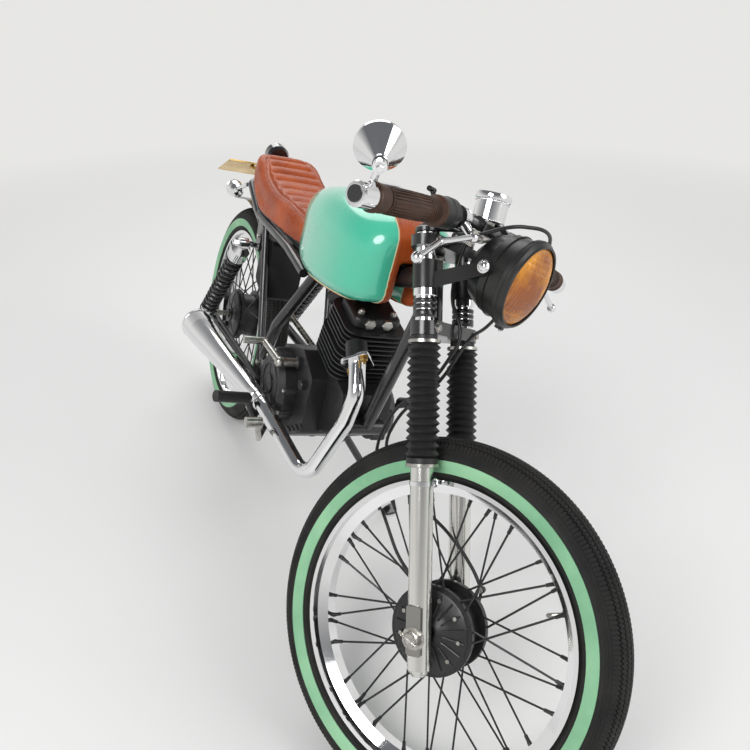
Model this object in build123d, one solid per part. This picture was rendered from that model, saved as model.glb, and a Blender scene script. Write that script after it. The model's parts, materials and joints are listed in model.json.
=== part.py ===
from build123d import *
import copy
import math
import os

# Whole machine, upright: X forward from the rear axle, Y to the left, Z up from the ground, all in mm
WHEELBASE = 1265.0
LEAN = 15.0                # lean to the left on the side stand, degrees
STEER_LOCK = 31.0          # steering stop to each side, degrees
RAKE = 30.0                # steering head angle from vertical, degrees
FORK_OFFSET = 32.0         # fork legs ahead of the steering axis
FORK_SPACING = 136.0       # between the two fork legs
SEAT_GAP = 0.3             # between pieces that seat on each other
BEARING_GAP = 0.05         # radial running gap of a shaft in its bore

# Wheels, the same front and rear
TYRE_RADIUS = 309.0
TYRE_SECTION_RADIUS = 40.0
BEAD_RADIUS = 238.0
WHITEWALL_OUTER_RADIUS = 273.0
WHITEWALL_WIDTH = 20.0
WHITEWALL_DEPTH = 3.0
WHITEWALL_PROUD = 0.8
RIM_METAL = 4.0
RIM_FLANGE_HEIGHT = 3.0
RIM_FLANGE_WIDTH = 4.0
RIM_WELL_DEPTH = 16.0
SPOKE_COUNT = 36
SPOKE_RADIUS = 1.8
SPOKE_END_GAP = 0.9
SPOKE_SWEEP = 24.0         # how far a spoke runs round the hub between its ends, degrees
SPOKE_STAGGER = 8.0        # between leading and trailing spokes at the hub
RIM_STAGGER = 4.0          # between leading and trailing spokes at the rim
HUB_FLANGE_RADIUS = 72.0
HUB_FLANGE_THICKNESS = 10.0
HUB_WIDTH = 62.0
HUB_BODY_RADIUS = 60.0
AXLE_RADIUS = 7.5
AXLE_NUT_RADIUS = 12.0
AXLE_NUT_LENGTH = 14.0
BRAKE_PLATE_RADIUS = 66.0
BRAKE_PLATE_THICKNESS = 12.0
BRAKE_GAP = 1.5
BRAKE_CAM_RADIUS = 42.0
BRAKE_ARM_LENGTH = 50.0
BRAKE_ARM_THICKNESS = 7.0
BRAKE_ARM_RADIUS = 2.6
FRONT_CAM_ANGLE = 42.0     # the next four are degrees up from straight ahead of the axle
FRONT_ARM_ANGLE = 108.0
REAR_CAM_ANGLE = 250.0
REAR_ARM_ANGLE = 275.0
SPEEDO_DRIVE_ANGLE = 172.0
SPEEDO_DRIVE_RADIUS = 60.0
SPEEDO_DRIVE_LINE = 38.0   # from the middle of the wheel to the cable's end
SPROCKET_RADIUS = 84.0
SPROCKET_THICKNESS = 6.0
SPROCKET_BORE = 42.0       # outside of the carrier behind the toothed ring
FRONT_SPROCKET_RADIUS = 32.0
CHAIN_LINE = 60.0          # chain to the left of the middle
CHAIN_WIDTH = 14.0
CHAIN_HEIGHT = 12.0
CHAIN_CLEARANCE = 0.8

# Front fork, heights are along the leg from the axle
FORK_TUBE_RADIUS = 15.5
FORK_LOWER_RADIUS = 18.5
FORK_LOWER_TOP = 285.0
FORK_FOOT = 60.0
GAITER_BOTTOM = 262.0
GAITER_CONVOLUTIONS = 15
GAITER_OUTER_RADIUS = 27.0
GAITER_VALLEY_RADIUS = 21.0
GAITER_COLLAR = 14.0
LOWER_CLAMP_HEIGHT = 470.0
LOWER_CLAMP_THICKNESS = 22.0
UPPER_CLAMP_HEIGHT = 612.0
UPPER_CLAMP_THICKNESS = 18.0
CLAMP_WALL = 8.0
FORK_TOP = 640.0
STEM_RADIUS = 13.0
HEAD_TUBE_RADIUS = 25.0
HEAD_END_GAP = 1.0
LUG_HALF_WIDTH = 34.0      # engine lug at the foot of the down tube
HANGER_THICKNESS = 8.0     # lugs of the upper shock bolts

# Frame tubes
SPINE_RADIUS = 19.0
SPINE_HEAD_HEIGHT = 575.0  # where the spine meets the head tube, along the steering axis
SPINE_REAR = (590.0, 0.0, 664.0)
CROSS_TUBE_RADIUS = 13.0
BACKBONE_RADIUS = 13.0     # the two tubes from the spine down to the swingarm pivot
BACKBONE_TOP = 46.0        # from the middle to each of them at the top
DOWN_TUBE_RADIUS = 14.0
DOWN_TUBE_HEAD_HEIGHT = 535.0
DOWN_TUBE_FOOT = (874.0, 0.0, 452.0)
RAIL_RADIUS = 10.0
RAIL_SPREAD = 86.0         # from the middle to each seat rail
RAIL_HEIGHT = 671.7
RAIL_FRONT = (604.0, 659.0)         # x, z of the rails' ends at the spine's cross tube
RAIL_KNEE_X = 480.0
STAY_RADIUS = 9.0
STAY_TOP_X = 306.0
TAIL_X = 60.0
TAIL_HEIGHT = 724.0
PIVOT = (505.0, 0.0, 345.0)
PIVOT_PLATE_SPREAD = 83.0
PIVOT_PLATE_THICKNESS = 8.0
PIVOT_PLATE_CORNERS = (        # x, z from the pivot, radius
    (0.0, 0.0, 24.0), (46.0, -44.0, 12.0), (-42.0, 52.0, 15.0), (-64.0, 26.0, 13.0),
)
BACKBONE_KNEE = (503.0, 497.0)
BACKBONE_FOOT = (463.0, 397.0)
STAY_FOOT = (441.0, 372.0)
SWINGARM_SPREAD = 101.0
SWINGARM_RADIUS = 13.0
PIVOT_TUBE_RADIUS = 17.0
PIVOT_BOLT_REACH = 18.0
SHOCK_SPREAD = 124.0
SHOCK_TOP = (274.0, 606.0)     # x, z
SHOCK_BOTTOM = (34.0, 322.0)
SHOCK_SPRING_RADIUS = 23.0
SHOCK_VALLEY_RADIUS = 17.0
SHOCK_COILS = 13
SHOCK_CAP_LENGTH = 60.0
SHOCK_BODY_RADIUS = 13.0
SHOCK_EYE_RADIUS = 14.0

# Engine
CRANKCASE_BOTTOM = 290.4   # underside of the plate that bolts the stand's lug on
CYLINDER_X = 750.0
CYLINDER_LEAN = 12.0       # forward, degrees
CYLINDER_BASE = 532.0
FIN_COUNT = 6
FIN_PITCH = 10.5
FIN_THICKNESS = 3.0
FIN_WIDTH = 136.0
BARREL_RADIUS = 44.0
HEAD_FIN_COUNT = 5
HEAD_WIDTH = 128.0
ROCKER_HEIGHT = 20.0
EXHAUST_PORT = (862.0, -47.0, 588.0)
EXHAUST_OUT = (0.81, -0.12, -0.57)
INLET_OUT = (-0.978, 0.0, 0.208)   # square to the leaning cylinder
CRANKCASE_HALF_WIDTH = 88.0
CLUTCH_CENTRE = (640.0, 418.0)
CLUTCH_RADIUS = 74.0
CLUTCH_DEPTH = 36.0
GENERATOR_CENTRE = (705.0, 398.0)
GENERATOR_RADIUS = 66.0
GENERATOR_DEPTH = 38.0
CHAIN_COVER_RADIUS = 44.0
CHAIN_COVER_DEPTH = 8.0
CHAIN_COVER_FOOT = (626.0, 372.0)      # x, z of the ear that rests on the engine block
CHAIN_COVER_FOOT_RADIUS = 12.0
FIN_CORNER = 30.0
INLET_REACH = 70.0
AIR_CLEANER_OUT = (-0.75, -0.25, -0.61)
FRONT_SPROCKET = (575.0, 60.0, 364.0)
CRANKCASE_OUTLINE = (
    (560.0, 352.0), (590.0, 300.0), (655.0, 296.0), (774.0, 374.0), (774.0, 500.0),
    (700.0, 530.0), (600.0, 496.0), (560.0, 446.0),
)
NOSE_OUTLINE = (
    (680.0, 320.0), (790.0, 392.0), (858.7, 430.0), (858.7, 478.0), (832.0, 600.0), (680.0, 600.0),
)
NOSE_HALF_WIDTH = 52.0
KICK_SHAFT = (694.0, 496.0)            # x, z
KICK_REACH = 44.0
KICK_TIP = (612.0, -144.0, 504.0)
KICK_PEDAL = 44.0
GEAR_ROOT = (608.0, 311.0)
GEAR_TOE = (660.0, 331.0)
BRAKE_ROOT = (642.0, 318.0)
BRAKE_KNEE = (735.0, -158.0, 338.0)
BRAKE_HEEL = (612.0, -104.0, 282.0)
BRAKE_ROD_LINE = -62.0     # of the rod's rear end, from the middle of the wheel
BRAKE_PAD = (762.0, -178.0, 392.0)
PEG_ROOT = (547.0, 304.0)
PEG_KNEE = (655.0, 150.0, 345.0)
PEG_ELBOW = (680.0, 182.0, 402.0)
PEG_END = (697.0, 252.0, 414.0)
PEG_RADIUS = 12.0

# Exhaust
HEADER_RADIUS = 16.0
HEADER_BENDS = (40.0, 40.0, 42.0, 60.0)
HEADER_TAIL = 30.0         # straight end in line with the muffler
MUFFLER_FRONT_RADIUS = 19.5
MUFFLER_REAR_RADIUS = 39.0
MUFFLER_WALL = 2.5
MUFFLER_FRONT = (655.0, -148.0, 388.0)
MUFFLER_REAR = (205.0, -187.0, 355.0)
MUFFLER_MOUTH = 70.0
HANGER_RADIUS = 8.0
HANGER_ON_MUFFLER = 120.0  # from the muffler's front end
HEADER_PATH = (
    (905.0, -53.0, 540.0),
    (903.0, -60.0, 478.0),
    (862.0, -92.0, 322.0),
)

# Riding position
GRIP_RADIUS = 17.0
GRIP_FLANGE_RADIUS = 23.0
GRIP_INNER = 49.0          # the next four are outward from the bar's bend
GRIP_OUTER = 189.0
BAR_RADIUS = 11.0
BAR_END = 240.0
HOUSING_INNER = 5.0
KNOB_OUT = (-0.78, 0.0, 0.626)
KNOB_REACH = 37.0
BAR_END_RADIUS = 17.0
PERCH_Y = 112.0            # middle of the lever clamp on the bar
LEVER_BALL_RADIUS = 8.5
RISER_SPREAD = 42.0
RISER_HEIGHT = 22.0
RISER_RADIUS = 10.0
BAR_MIDDLE = (1015.0, 0.0, 903.0)
BAR_BEND_Y = 130.0         # where the bar turns down towards the grips
BAR_DROP = 7.5             # of the grips, degrees
HEADLIGHT_CENTRE = (1121.0, 0.0, 855.0)
HEADLIGHT_RING_RADIUS = 74.0
HEADLIGHT_RING_DEPTH = 20.0
HEADLIGHT_SHELL_RADIUS = 69.0
HEADLIGHT_SHELL_LENGTH = 98.0
BRACKET_LOW = 545.0        # headlight bands, heights up the fork leg
BRACKET_HIGH = 590.0
BRACKET_BOLT_BACK = 48.0   # behind the ring's face
EAR_THICKNESS = 5.0
LENS_RADIUS = 66.0
LENS_CROWN = 12.0
SPEEDO_BOTTOM = (1002.0, 0.0, 914.0)
SPEEDO_RADIUS = 29.0
SPEEDO_LENGTH = 46.0
MIRROR_RADIUS = 33.5
MIRROR_DEPTH = 48.0
MIRROR_CENTRE = (1005.0, -348.0, 936.0)
MIRROR_BACK = (0.69, -0.57, -0.44)     # the way its cone points
MIRROR_STALK_RADIUS = 5.0
LEVER_PATH = (
    (1058.0, 124.0, 886.0),    # pivot
    (1054.0, 196.0, 862.0),    # bend
    (1069.0, 256.0, 832.0),    # ball
)

CABLE_RADIUS = 3.0
CABLE_BEND_SHARE = 0.45    # of the shorter run that an arc may use up
CABLE_LARGEST_BEND = 150.0
BRAKE_CABLE = (            # over the headlight, down between the legs, behind the tyre to the left
    (1046.0, -90.0, 893.0), (1078.0, -66.0, 928.0), (1106.0, 4.0, 949.0), (1086.0, 88.0, 910.0),
    (1060.0, 100.0, 824.0), (1058.0, 66.0, 760.0), (1063.0, 14.0, 740.0), (1054.0, 12.0, 640.0),
    (1000.0, 40.0, 560.0), (986.0, 62.0, 478.0), (1060.0, 54.0, 440.0), (1136.0, 42.0, 438.0),
    (1180.0, 42.0, 432.0), (1220.0, 44.0, 420.0), (1256.0, 47.5, 402.0), (1275.5, 48.0, 388.35),
)
SPEEDO_CABLE = (
    (986.0, 0.0, 908.0), (984.0, 0.0, 850.0), (1006.0, 0.0, 776.0), (1062.0, -4.0, 740.0),
    (1048.0, 0.0, 640.0), (990.0, 30.0, 560.0), (975.0, 57.0, 470.0), (1035.0, 54.0, 395.0),
    (1123.0, 42.0, 339.0), (1190.8, 38.0, 319.5),
)
# Tank, seat and tail, sections from the front or back with x first
TANK_SECTIONS = (
    # x, half width, bottom, top, bottom round, top round
    (455.0, 40.0, 700.0, 806.0, 18.0, 30.0),
    (510.0, 72.0, 688.0, 826.0, 26.0, 52.0),
    (590.0, 100.0, 674.0, 848.0, 30.0, 74.0),
    (700.0, 113.0, 676.0, 866.0, 32.0, 86.0),
    (800.0, 110.0, 690.0, 868.0, 32.0, 80.0),
    (862.0, 90.0, 706.0, 858.0, 28.0, 60.0),
    (888.0, 58.0, 724.0, 838.0, 24.0, 36.0),
)
PAINT_EDGE = (                 # x, z where the paint ends and the leather begins, from the rear
    (600.0, 640.0), (642.0, 674.0), (700.0, 686.0), (812.0, 700.0), (846.0, 714.0),
    (856.0, 760.0), (866.0, 810.0), (874.0, 900.0),
)
SEAT_SECTIONS = (
    (560.0, 64.0, 682.0, 740.0, 10.0, 24.0),
    (420.0, 84.0, 682.0, 744.0, 12.0, 26.0),
    (300.0, 96.0, 682.0, 750.0, 12.0, 28.0),
    (200.0, 96.0, 694.0, 766.0, 12.0, 28.0),
    (110.0, 84.0, 742.0, 790.0, 12.0, 20.0),
    (57.0, 46.0, 756.0, 786.0, 8.0, 12.0),
)
TANK_TAIL_LOW = (545.0, 680.0)         # x, z of the slanted joint between tank and seat
TANK_TAIL_HIGH = (474.0, 752.0)
TUNNEL_GAP = 5.0
LAMP_BASE = (36.0, 0.0, 776.0)
PLATE_CENTRE = (-150.0, 0.0, 700.0)
PLATE_SLOPE = 25.0
PLATE_LENGTH = 130.0
PLATE_WIDTH = 190.0
INDICATOR = (12.0, 94.0, 672.0)
STALK_SUNK = 5.1           # the stalk's foot in from the rail's widest line, where it meets the bend
GUARD_CLEARANCE = 22.0
GUARD_THICKNESS = 2.5
GUARD_WIDTH = 100.0
GUARD_HANGER_RADIUS = 6.0
GUARD_START = 48.0         # degrees up from straight ahead of the rear axle
GUARD_END = 112.0
BATTERY_OUTLINE = ((262.0, 520.0), (352.0, 488.0), (352.0, 640.0), (262.0, 640.0))
BATTERY_RIGHT = -76.0
BATTERY_LEFT = 8.0

# Side stand
STAND_PIVOT = (598.0, 104.0, 268.0)
STAND_FOOT_X = 640.0
STAND_FOOT_SPREAD = 255.0
STAND_LEG_RADIUS = 9.0
STAND_BOLT_RADIUS = 6.0
STAND_FOLD = 95.0          # how far the stand swings back and up, degrees

RAKE_SIN = math.sin(math.radians(RAKE))
RAKE_COS = math.cos(math.radians(RAKE))
STEER_UP = (-RAKE_SIN, 0.0, RAKE_COS)
STEER_AHEAD = (RAKE_COS, 0.0, RAKE_SIN)
REAR_AXLE = (0.0, 0.0, TYRE_RADIUS)
FRONT_AXLE = (WHEELBASE, 0.0, TYRE_RADIUS)
LEFT = (0.0, 1.0, 0.0)
SIDES = (-1, 1)            # right, left


def along(point, direction, distance):
    """The point at a distance from another in a direction."""
    return tuple(p + d * distance for p, d in zip(point, direction))


STEER_FOOT = along(FRONT_AXLE, STEER_AHEAD, -FORK_OFFSET)


def steer_point(height, ahead=0.0, left=0.0):
    """A point by its height up the steering axis and its offsets ahead and to the left."""
    return along(along(along(STEER_FOOT, STEER_UP, height), STEER_AHEAD, ahead), LEFT, left)


def rod(start, end, radius):
    """A round bar between two points."""
    run = Vector(*end) - Vector(*start)
    bar = Cylinder(radius, run.length, align=(Align.CENTER, Align.CENTER, Align.MIN))
    return Plane(origin=start, z_dir=run) * bar


def bent_tube(points, radius, bend):
    """A round tube along straight runs joined by arcs."""
    path = FilletPolyline(*points, radius=bend)
    return sweep(Plane(origin=path @ 0, z_dir=path % 0) * Circle(radius), path=path)


def turned(profile, origin, axis):
    """A solid of revolution from its (radius, height) profile, set on an origin along an axis."""
    outline = Polyline(*[(radius, 0, height) for radius, height in profile], close=True)
    return Plane(origin=origin, z_dir=axis) * revolve(make_face(outline), Axis.Z)


def spun(section, centre):
    """A wheel part: a section drawn as (radius, width) and turned about the axle."""
    return Plane(origin=centre, x_dir=(0.6, 0, -0.8), z_dir=LEFT) * revolve(Plane.XZ * section, Axis.Z)


def group(*solids):
    """Like pieces that don't touch, kept together in one node."""
    return Compound(children=[piece for solid in solids for piece in solid.solids()])


def section_at(x, half_width, bottom, top, bottom_round, top_round):
    """A cross-section of the tank or seat, with its own bottom and top corner rounds."""
    corners = [(-half_width, bottom), (half_width, bottom), (half_width, top), (-half_width, top)]
    rounds = [bottom_round, bottom_round, top_round, top_round]
    outline = FilletPolyline(*corners, radius=rounds, close=True)
    return Plane(origin=(x, 0, 0), x_dir=LEFT, z_dir=(1, 0, 0)) * make_face(outline)


# Wheels

def tyre_ring(inner_section, outer_section, inner_radius, outer_radius):
    """A band of the tyre's round section, between two section radii and two wheel radii."""
    middle = TYRE_RADIUS - TYRE_SECTION_RADIUS
    band = Pos(middle, 0) * (Circle(outer_section) - Circle(inner_section))
    window = Pos((inner_radius + outer_radius) / 2, 0) * Rectangle(
        outer_radius - inner_radius, 4 * TYRE_SECTION_RADIUS)
    return band & window


def tyre(centre):
    middle = TYRE_RADIUS - TYRE_SECTION_RADIUS
    section = Pos(middle, 0) * Circle(TYRE_SECTION_RADIUS)
    section -= Pos(BEAD_RADIUS / 2, 0) * Rectangle(BEAD_RADIUS, 4 * TYRE_SECTION_RADIUS)
    section -= tyre_ring(
        TYRE_SECTION_RADIUS - WHITEWALL_DEPTH - SEAT_GAP,
        TYRE_SECTION_RADIUS + WHITEWALL_PROUD,
        WHITEWALL_OUTER_RADIUS - WHITEWALL_WIDTH - SEAT_GAP,
        WHITEWALL_OUTER_RADIUS + SEAT_GAP,
    )
    return spun(section, centre)


def whitewalls(centre):
    bands = tyre_ring(
        TYRE_SECTION_RADIUS - WHITEWALL_DEPTH,
        TYRE_SECTION_RADIUS + WHITEWALL_PROUD,
        WHITEWALL_OUTER_RADIUS - WHITEWALL_WIDTH,
        WHITEWALL_OUTER_RADIUS,
    )
    return group(*[spun(band, centre) for band in bands.faces()])


def rim(centre):
    seat = BEAD_RADIUS - SEAT_GAP
    rise = TYRE_RADIUS - TYRE_SECTION_RADIUS - seat
    bead_half = math.sqrt(TYRE_SECTION_RADIUS ** 2 - rise ** 2)
    flange_rise = rise - RIM_FLANGE_HEIGHT
    flange_half = math.sqrt(TYRE_SECTION_RADIUS ** 2 - flange_rise ** 2) + SEAT_GAP
    half = [
        (seat - RIM_WELL_DEPTH, bead_half * 0.35),
        (seat, bead_half * 0.7),
        (seat, bead_half + SEAT_GAP),
        (seat + RIM_FLANGE_HEIGHT, flange_half),
        (seat + RIM_FLANGE_HEIGHT, flange_half + RIM_FLANGE_WIDTH),
        (seat - RIM_METAL, flange_half + RIM_FLANGE_WIDTH),
        (seat - RIM_METAL, bead_half * 0.75),
        (seat - RIM_WELL_DEPTH - RIM_METAL, bead_half * 0.4),
    ]
    mirrored = [(radius, -width) for radius, width in reversed(half)]
    outline = Polyline(*half, *mirrored, close=True)
    return spun(make_face(outline), centre)


def rim_inner_radius():
    return BEAD_RADIUS - SEAT_GAP - RIM_WELL_DEPTH - RIM_METAL


def wheel_point(centre, radius, angle, width):
    turn = math.radians(angle)
    return (centre[0] + radius * math.cos(turn), centre[1] + width, centre[2] + radius * math.sin(turn))


def spoke(centre, number):
    """One spoke, leading or trailing, from its flange to the middle of the rim."""
    side = 1 if number % 2 else -1
    lead = 1 if (number // 2) % 2 else -1
    angle = 360.0 * number / SPOKE_COUNT
    flange_line = (HUB_WIDTH - HUB_FLANGE_THICKNESS) / 2
    start = wheel_point(
        centre, HUB_BODY_RADIUS + 3 * SPOKE_RADIUS, angle,
        side * (flange_line + lead * (SPOKE_STAGGER / 2 - SPOKE_RADIUS)))
    end = wheel_point(
        centre, rim_inner_radius() - SPOKE_END_GAP, angle + lead * SPOKE_SWEEP,
        side * (RIM_STAGGER + lead * RIM_STAGGER / 2))
    run = Vector(*end) - Vector(*start)
    return Plane(origin=start, z_dir=run) * extrude(RegularPolygon(SPOKE_RADIUS, 6), run.length)


def hub(centre):
    """Drum hub with its two flanges, bored for the axle."""
    half = HUB_WIDTH / 2
    bore = AXLE_RADIUS + BEARING_GAP
    profile = [
        (bore, -half),
        (HUB_FLANGE_RADIUS, -half),
        (HUB_FLANGE_RADIUS, -half + HUB_FLANGE_THICKNESS),
        (HUB_BODY_RADIUS, -half + HUB_FLANGE_THICKNESS),
        (HUB_BODY_RADIUS, half - HUB_FLANGE_THICKNESS),
        (HUB_FLANGE_RADIUS, half - HUB_FLANGE_THICKNESS),
        (HUB_FLANGE_RADIUS, half),
        (bore, half),
    ]
    return turned(profile, centre, LEFT)


def hub_and_spokes(centre):
    core = hub(centre)
    core += [spoke(centre, number) for number in range(SPOKE_COUNT)]
    return core


def brake_plate(centre, side, cam_angle, arm_angle):
    """Fixed drum cover on one side of the hub, with its camshaft boss and the arm on it."""
    inner = HUB_WIDTH / 2 + BRAKE_GAP
    outer = inner + BRAKE_PLATE_THICKNESS
    bore = AXLE_RADIUS + BEARING_GAP
    profile = [
        (bore, inner),
        (BRAKE_PLATE_RADIUS, inner),
        (BRAKE_PLATE_RADIUS, inner + BRAKE_PLATE_THICKNESS / 2),
        (BRAKE_PLATE_RADIUS * 0.72, outer),
        (bore, outer),
    ]
    plate = turned(profile, centre, (0, side, 0))
    arm_line = side * (outer + BRAKE_ARM_THICKNESS / 2)
    cam = wheel_point(centre, BRAKE_CAM_RADIUS, cam_angle, arm_line)
    tip = wheel_point(cam, BRAKE_ARM_LENGTH, arm_angle, 0)
    plate += rod(along(cam, LEFT, -side * BRAKE_PLATE_THICKNESS), along(cam, LEFT, side * BRAKE_ARM_THICKNESS / 2), 8)
    plate += rod(along(tip, LEFT, -BRAKE_ARM_THICKNESS / 2), along(tip, LEFT, BRAKE_ARM_THICKNESS / 2), 6)
    return plate + rod(cam, tip, BRAKE_ARM_RADIUS)


def front_brake_plate():
    """The front plate with the drive that the speedometer cable comes out of."""
    plate = brake_plate(FRONT_AXLE, 1, FRONT_CAM_ANGLE, FRONT_ARM_ANGLE)
    drive = wheel_point(FRONT_AXLE, SPEEDO_DRIVE_RADIUS, SPEEDO_DRIVE_ANGLE, SPEEDO_DRIVE_LINE)
    mouth = wheel_point(FRONT_AXLE, SPEEDO_DRIVE_RADIUS + 14, SPEEDO_DRIVE_ANGLE, SPEEDO_DRIVE_LINE)
    return plate + rod(drive, mouth, 5)


def axle(centre, half_length):
    shaft = rod(along(centre, LEFT, -half_length), along(centre, LEFT, half_length), AXLE_RADIUS)
    for side in SIDES:
        head = along(centre, LEFT, side * half_length)
        shaft += Plane(origin=head, z_dir=(0, side, 0)) * extrude(
            RegularPolygon(AXLE_NUT_RADIUS, 6), AXLE_NUT_LENGTH)
    return shaft


def sprocket():
    """Toothed ring and its carrier, bolted to the left of the hub."""
    outer = CHAIN_LINE + SPROCKET_THICKNESS / 2
    ring = [
        (SPROCKET_BORE - 2, CHAIN_LINE - SPROCKET_THICKNESS / 2),
        (SPROCKET_RADIUS, CHAIN_LINE - SPROCKET_THICKNESS / 2),
        (SPROCKET_RADIUS, outer),
        (SPROCKET_BORE - 2, outer),
    ]
    carrier = [
        (AXLE_RADIUS + BEARING_GAP, HUB_WIDTH / 2 - 1),
        (SPROCKET_BORE, HUB_WIDTH / 2 - 1),
        (SPROCKET_BORE, outer),
        (AXLE_RADIUS + BEARING_GAP, outer),
    ]
    return turned(ring, REAR_AXLE, LEFT) + turned(carrier, REAR_AXLE, LEFT)


def rear_hub():
    return hub_and_spokes(REAR_AXLE) + sprocket()


# Front fork and steering head

def leg_point(height, side):
    return steer_point(height, FORK_OFFSET, side * FORK_SPACING / 2)


def fork_lower(side):
    """Polished lower leg: rounded foot, bored for the axle, open at the top for the tube."""
    profile = [
        (0, -FORK_FOOT),
        (FORK_LOWER_RADIUS * 0.6, -FORK_FOOT),
        (FORK_LOWER_RADIUS, -FORK_FOOT + 10),
        (FORK_LOWER_RADIUS, FORK_LOWER_TOP),
        (FORK_TUBE_RADIUS + BEARING_GAP, FORK_LOWER_TOP),
        (FORK_TUBE_RADIUS + BEARING_GAP, FORK_LOWER_TOP - 40),
        (0, FORK_LOWER_TOP - 40),
    ]
    leg = turned(profile, leg_point(0, side), STEER_UP)
    bore = along(FRONT_AXLE, LEFT, side * FORK_SPACING / 2 - 2 * FORK_LOWER_RADIUS)
    leg -= rod(bore, along(bore, LEFT, 4 * FORK_LOWER_RADIUS), AXLE_RADIUS + BEARING_GAP)
    return leg


def bellows(origin, axis, bore, start, length, collar, count, outer, valley):
    """A rubber gaiter: a collar at each end and a saw-tooth wall between."""
    pitch = (length - 2 * collar) / count
    profile = [(bore, start), (outer * 0.94, start), (outer * 0.94, start + collar)]
    for number in range(count):
        foot = start + collar + number * pitch
        profile.append((valley, foot + pitch * 0.1))
        profile.append((outer, foot + pitch * 0.55))
    profile.append((valley, start + length - collar))
    profile.append((valley, start + length))
    profile.append((bore, start + length))
    return turned(profile, origin, axis)


def fork_gaiter(side):
    return bellows(
        leg_point(0, side), STEER_UP, FORK_LOWER_RADIUS + SEAT_GAP, GAITER_BOTTOM,
        LOWER_CLAMP_HEIGHT - SEAT_GAP - GAITER_BOTTOM, GAITER_COLLAR, GAITER_CONVOLUTIONS,
        GAITER_OUTER_RADIUS, GAITER_VALLEY_RADIUS)


def fork_tube(side):
    return rod(leg_point(FORK_LOWER_TOP - 40 + SEAT_GAP, side), leg_point(FORK_TOP, side), FORK_TUBE_RADIUS)


def clamp(height, thickness):
    """A fork clamp: one plate round both legs and the steering stem."""
    outline = Circle(STEM_RADIUS + CLAMP_WALL).edges()
    for side in SIDES:
        place = Pos(FORK_OFFSET, side * FORK_SPACING / 2)
        outline += (place * Circle(FORK_TUBE_RADIUS + CLAMP_WALL)).edges()
    plate = extrude(make_hull(outline), thickness)
    for side in SIDES:
        place = Pos(FORK_OFFSET, side * FORK_SPACING / 2, 0)
        plate -= place * Cylinder(FORK_TUBE_RADIUS + BEARING_GAP, 4 * thickness)
    return Plane(origin=steer_point(height), x_dir=STEER_AHEAD, z_dir=STEER_UP) * plate


def fork_clamps():
    """Both clamps joined by the steering stem that turns in the head tube."""
    stem = rod(steer_point(LOWER_CLAMP_HEIGHT), steer_point(UPPER_CLAMP_HEIGHT + UPPER_CLAMP_THICKNESS), STEM_RADIUS)
    lower = clamp(LOWER_CLAMP_HEIGHT, LOWER_CLAMP_THICKNESS)
    upper = clamp(UPPER_CLAMP_HEIGHT, UPPER_CLAMP_THICKNESS)
    nut = rod(
        steer_point(UPPER_CLAMP_HEIGHT + UPPER_CLAMP_THICKNESS),
        steer_point(UPPER_CLAMP_HEIGHT + UPPER_CLAMP_THICKNESS + 12), STEM_RADIUS + 4)
    return lower + stem + upper + nut


def headlight_shell():
    """Bowl, clamp ring and the two ears that bolt it to the fork tubes."""
    ring_back = -HEADLIGHT_RING_DEPTH
    back = -HEADLIGHT_SHELL_LENGTH
    profile = [
        (0, back),
        (HEADLIGHT_SHELL_RADIUS * 0.45, back),
        (HEADLIGHT_SHELL_RADIUS * 0.8, back + 18),
        (HEADLIGHT_SHELL_RADIUS * 0.96, back + 44),
        (HEADLIGHT_SHELL_RADIUS, ring_back),
        (HEADLIGHT_RING_RADIUS, ring_back + 3),
        (HEADLIGHT_RING_RADIUS, -6),
        (LENS_RADIUS + 3, 0),
        (LENS_RADIUS + SEAT_GAP, 0),
        (LENS_RADIUS + SEAT_GAP, -10),
        (0, -10),
    ]
    return turned(profile, HEADLIGHT_CENTRE, (1, 0, 0))


def headlight_lens():
    profile = [
        (0, -10 + SEAT_GAP),
        (LENS_RADIUS, -10 + SEAT_GAP),
        (LENS_RADIUS, -4),
        (LENS_RADIUS * 0.85, LENS_CROWN * 0.3),
        (LENS_RADIUS * 0.5, LENS_CROWN * 0.8),
        (0, LENS_CROWN),
    ]
    return turned(profile, HEADLIGHT_CENTRE, (1, 0, 0))


def headlight_bracket(side):
    """Band round the fork tube, the forward ear on it and the bolt into the shell."""
    outer = FORK_TUBE_RADIUS + 5
    profile = [
        (FORK_TUBE_RADIUS + BEARING_GAP, BRACKET_LOW),
        (outer, BRACKET_LOW),
        (outer, BRACKET_HIGH),
        (FORK_TUBE_RADIUS + BEARING_GAP, BRACKET_HIGH),
    ]
    band = turned(profile, leg_point(0, side), STEER_UP)
    ear_y = side * (HEADLIGHT_SHELL_RADIUS + EAR_THICKNESS / 2 + SEAT_GAP)
    base = leg_point((BRACKET_LOW + BRACKET_HIGH) / 2, side)
    bolt = (HEADLIGHT_CENTRE[0] - BRACKET_BOLT_BACK, ear_y, HEADLIGHT_CENTRE[2])
    outline = make_hull(
        (Pos(base[0] + outer, base[2]) * Circle(12)).edges() + (Pos(bolt[0], bolt[2]) * Circle(11)).edges())
    ear = Pos(0, ear_y + EAR_THICKNESS / 2, 0) * extrude(Plane.XZ * outline, EAR_THICKNESS)
    bolt_bar = rod(along(bolt, LEFT, -side * 8), along(bolt, LEFT, side * 8), 7)
    tube = rod(leg_point(BRACKET_LOW - 40, side), leg_point(BRACKET_HIGH + 40, side), FORK_TUBE_RADIUS + BEARING_GAP)
    return band + (ear - tube) + bolt_bar


def headlight_housing():
    """The shell with its two ears, and the bands that clamp them to the fork tubes."""
    housing = headlight_shell()
    for side in SIDES:
        housing += headlight_bracket(side)
    return housing


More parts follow.
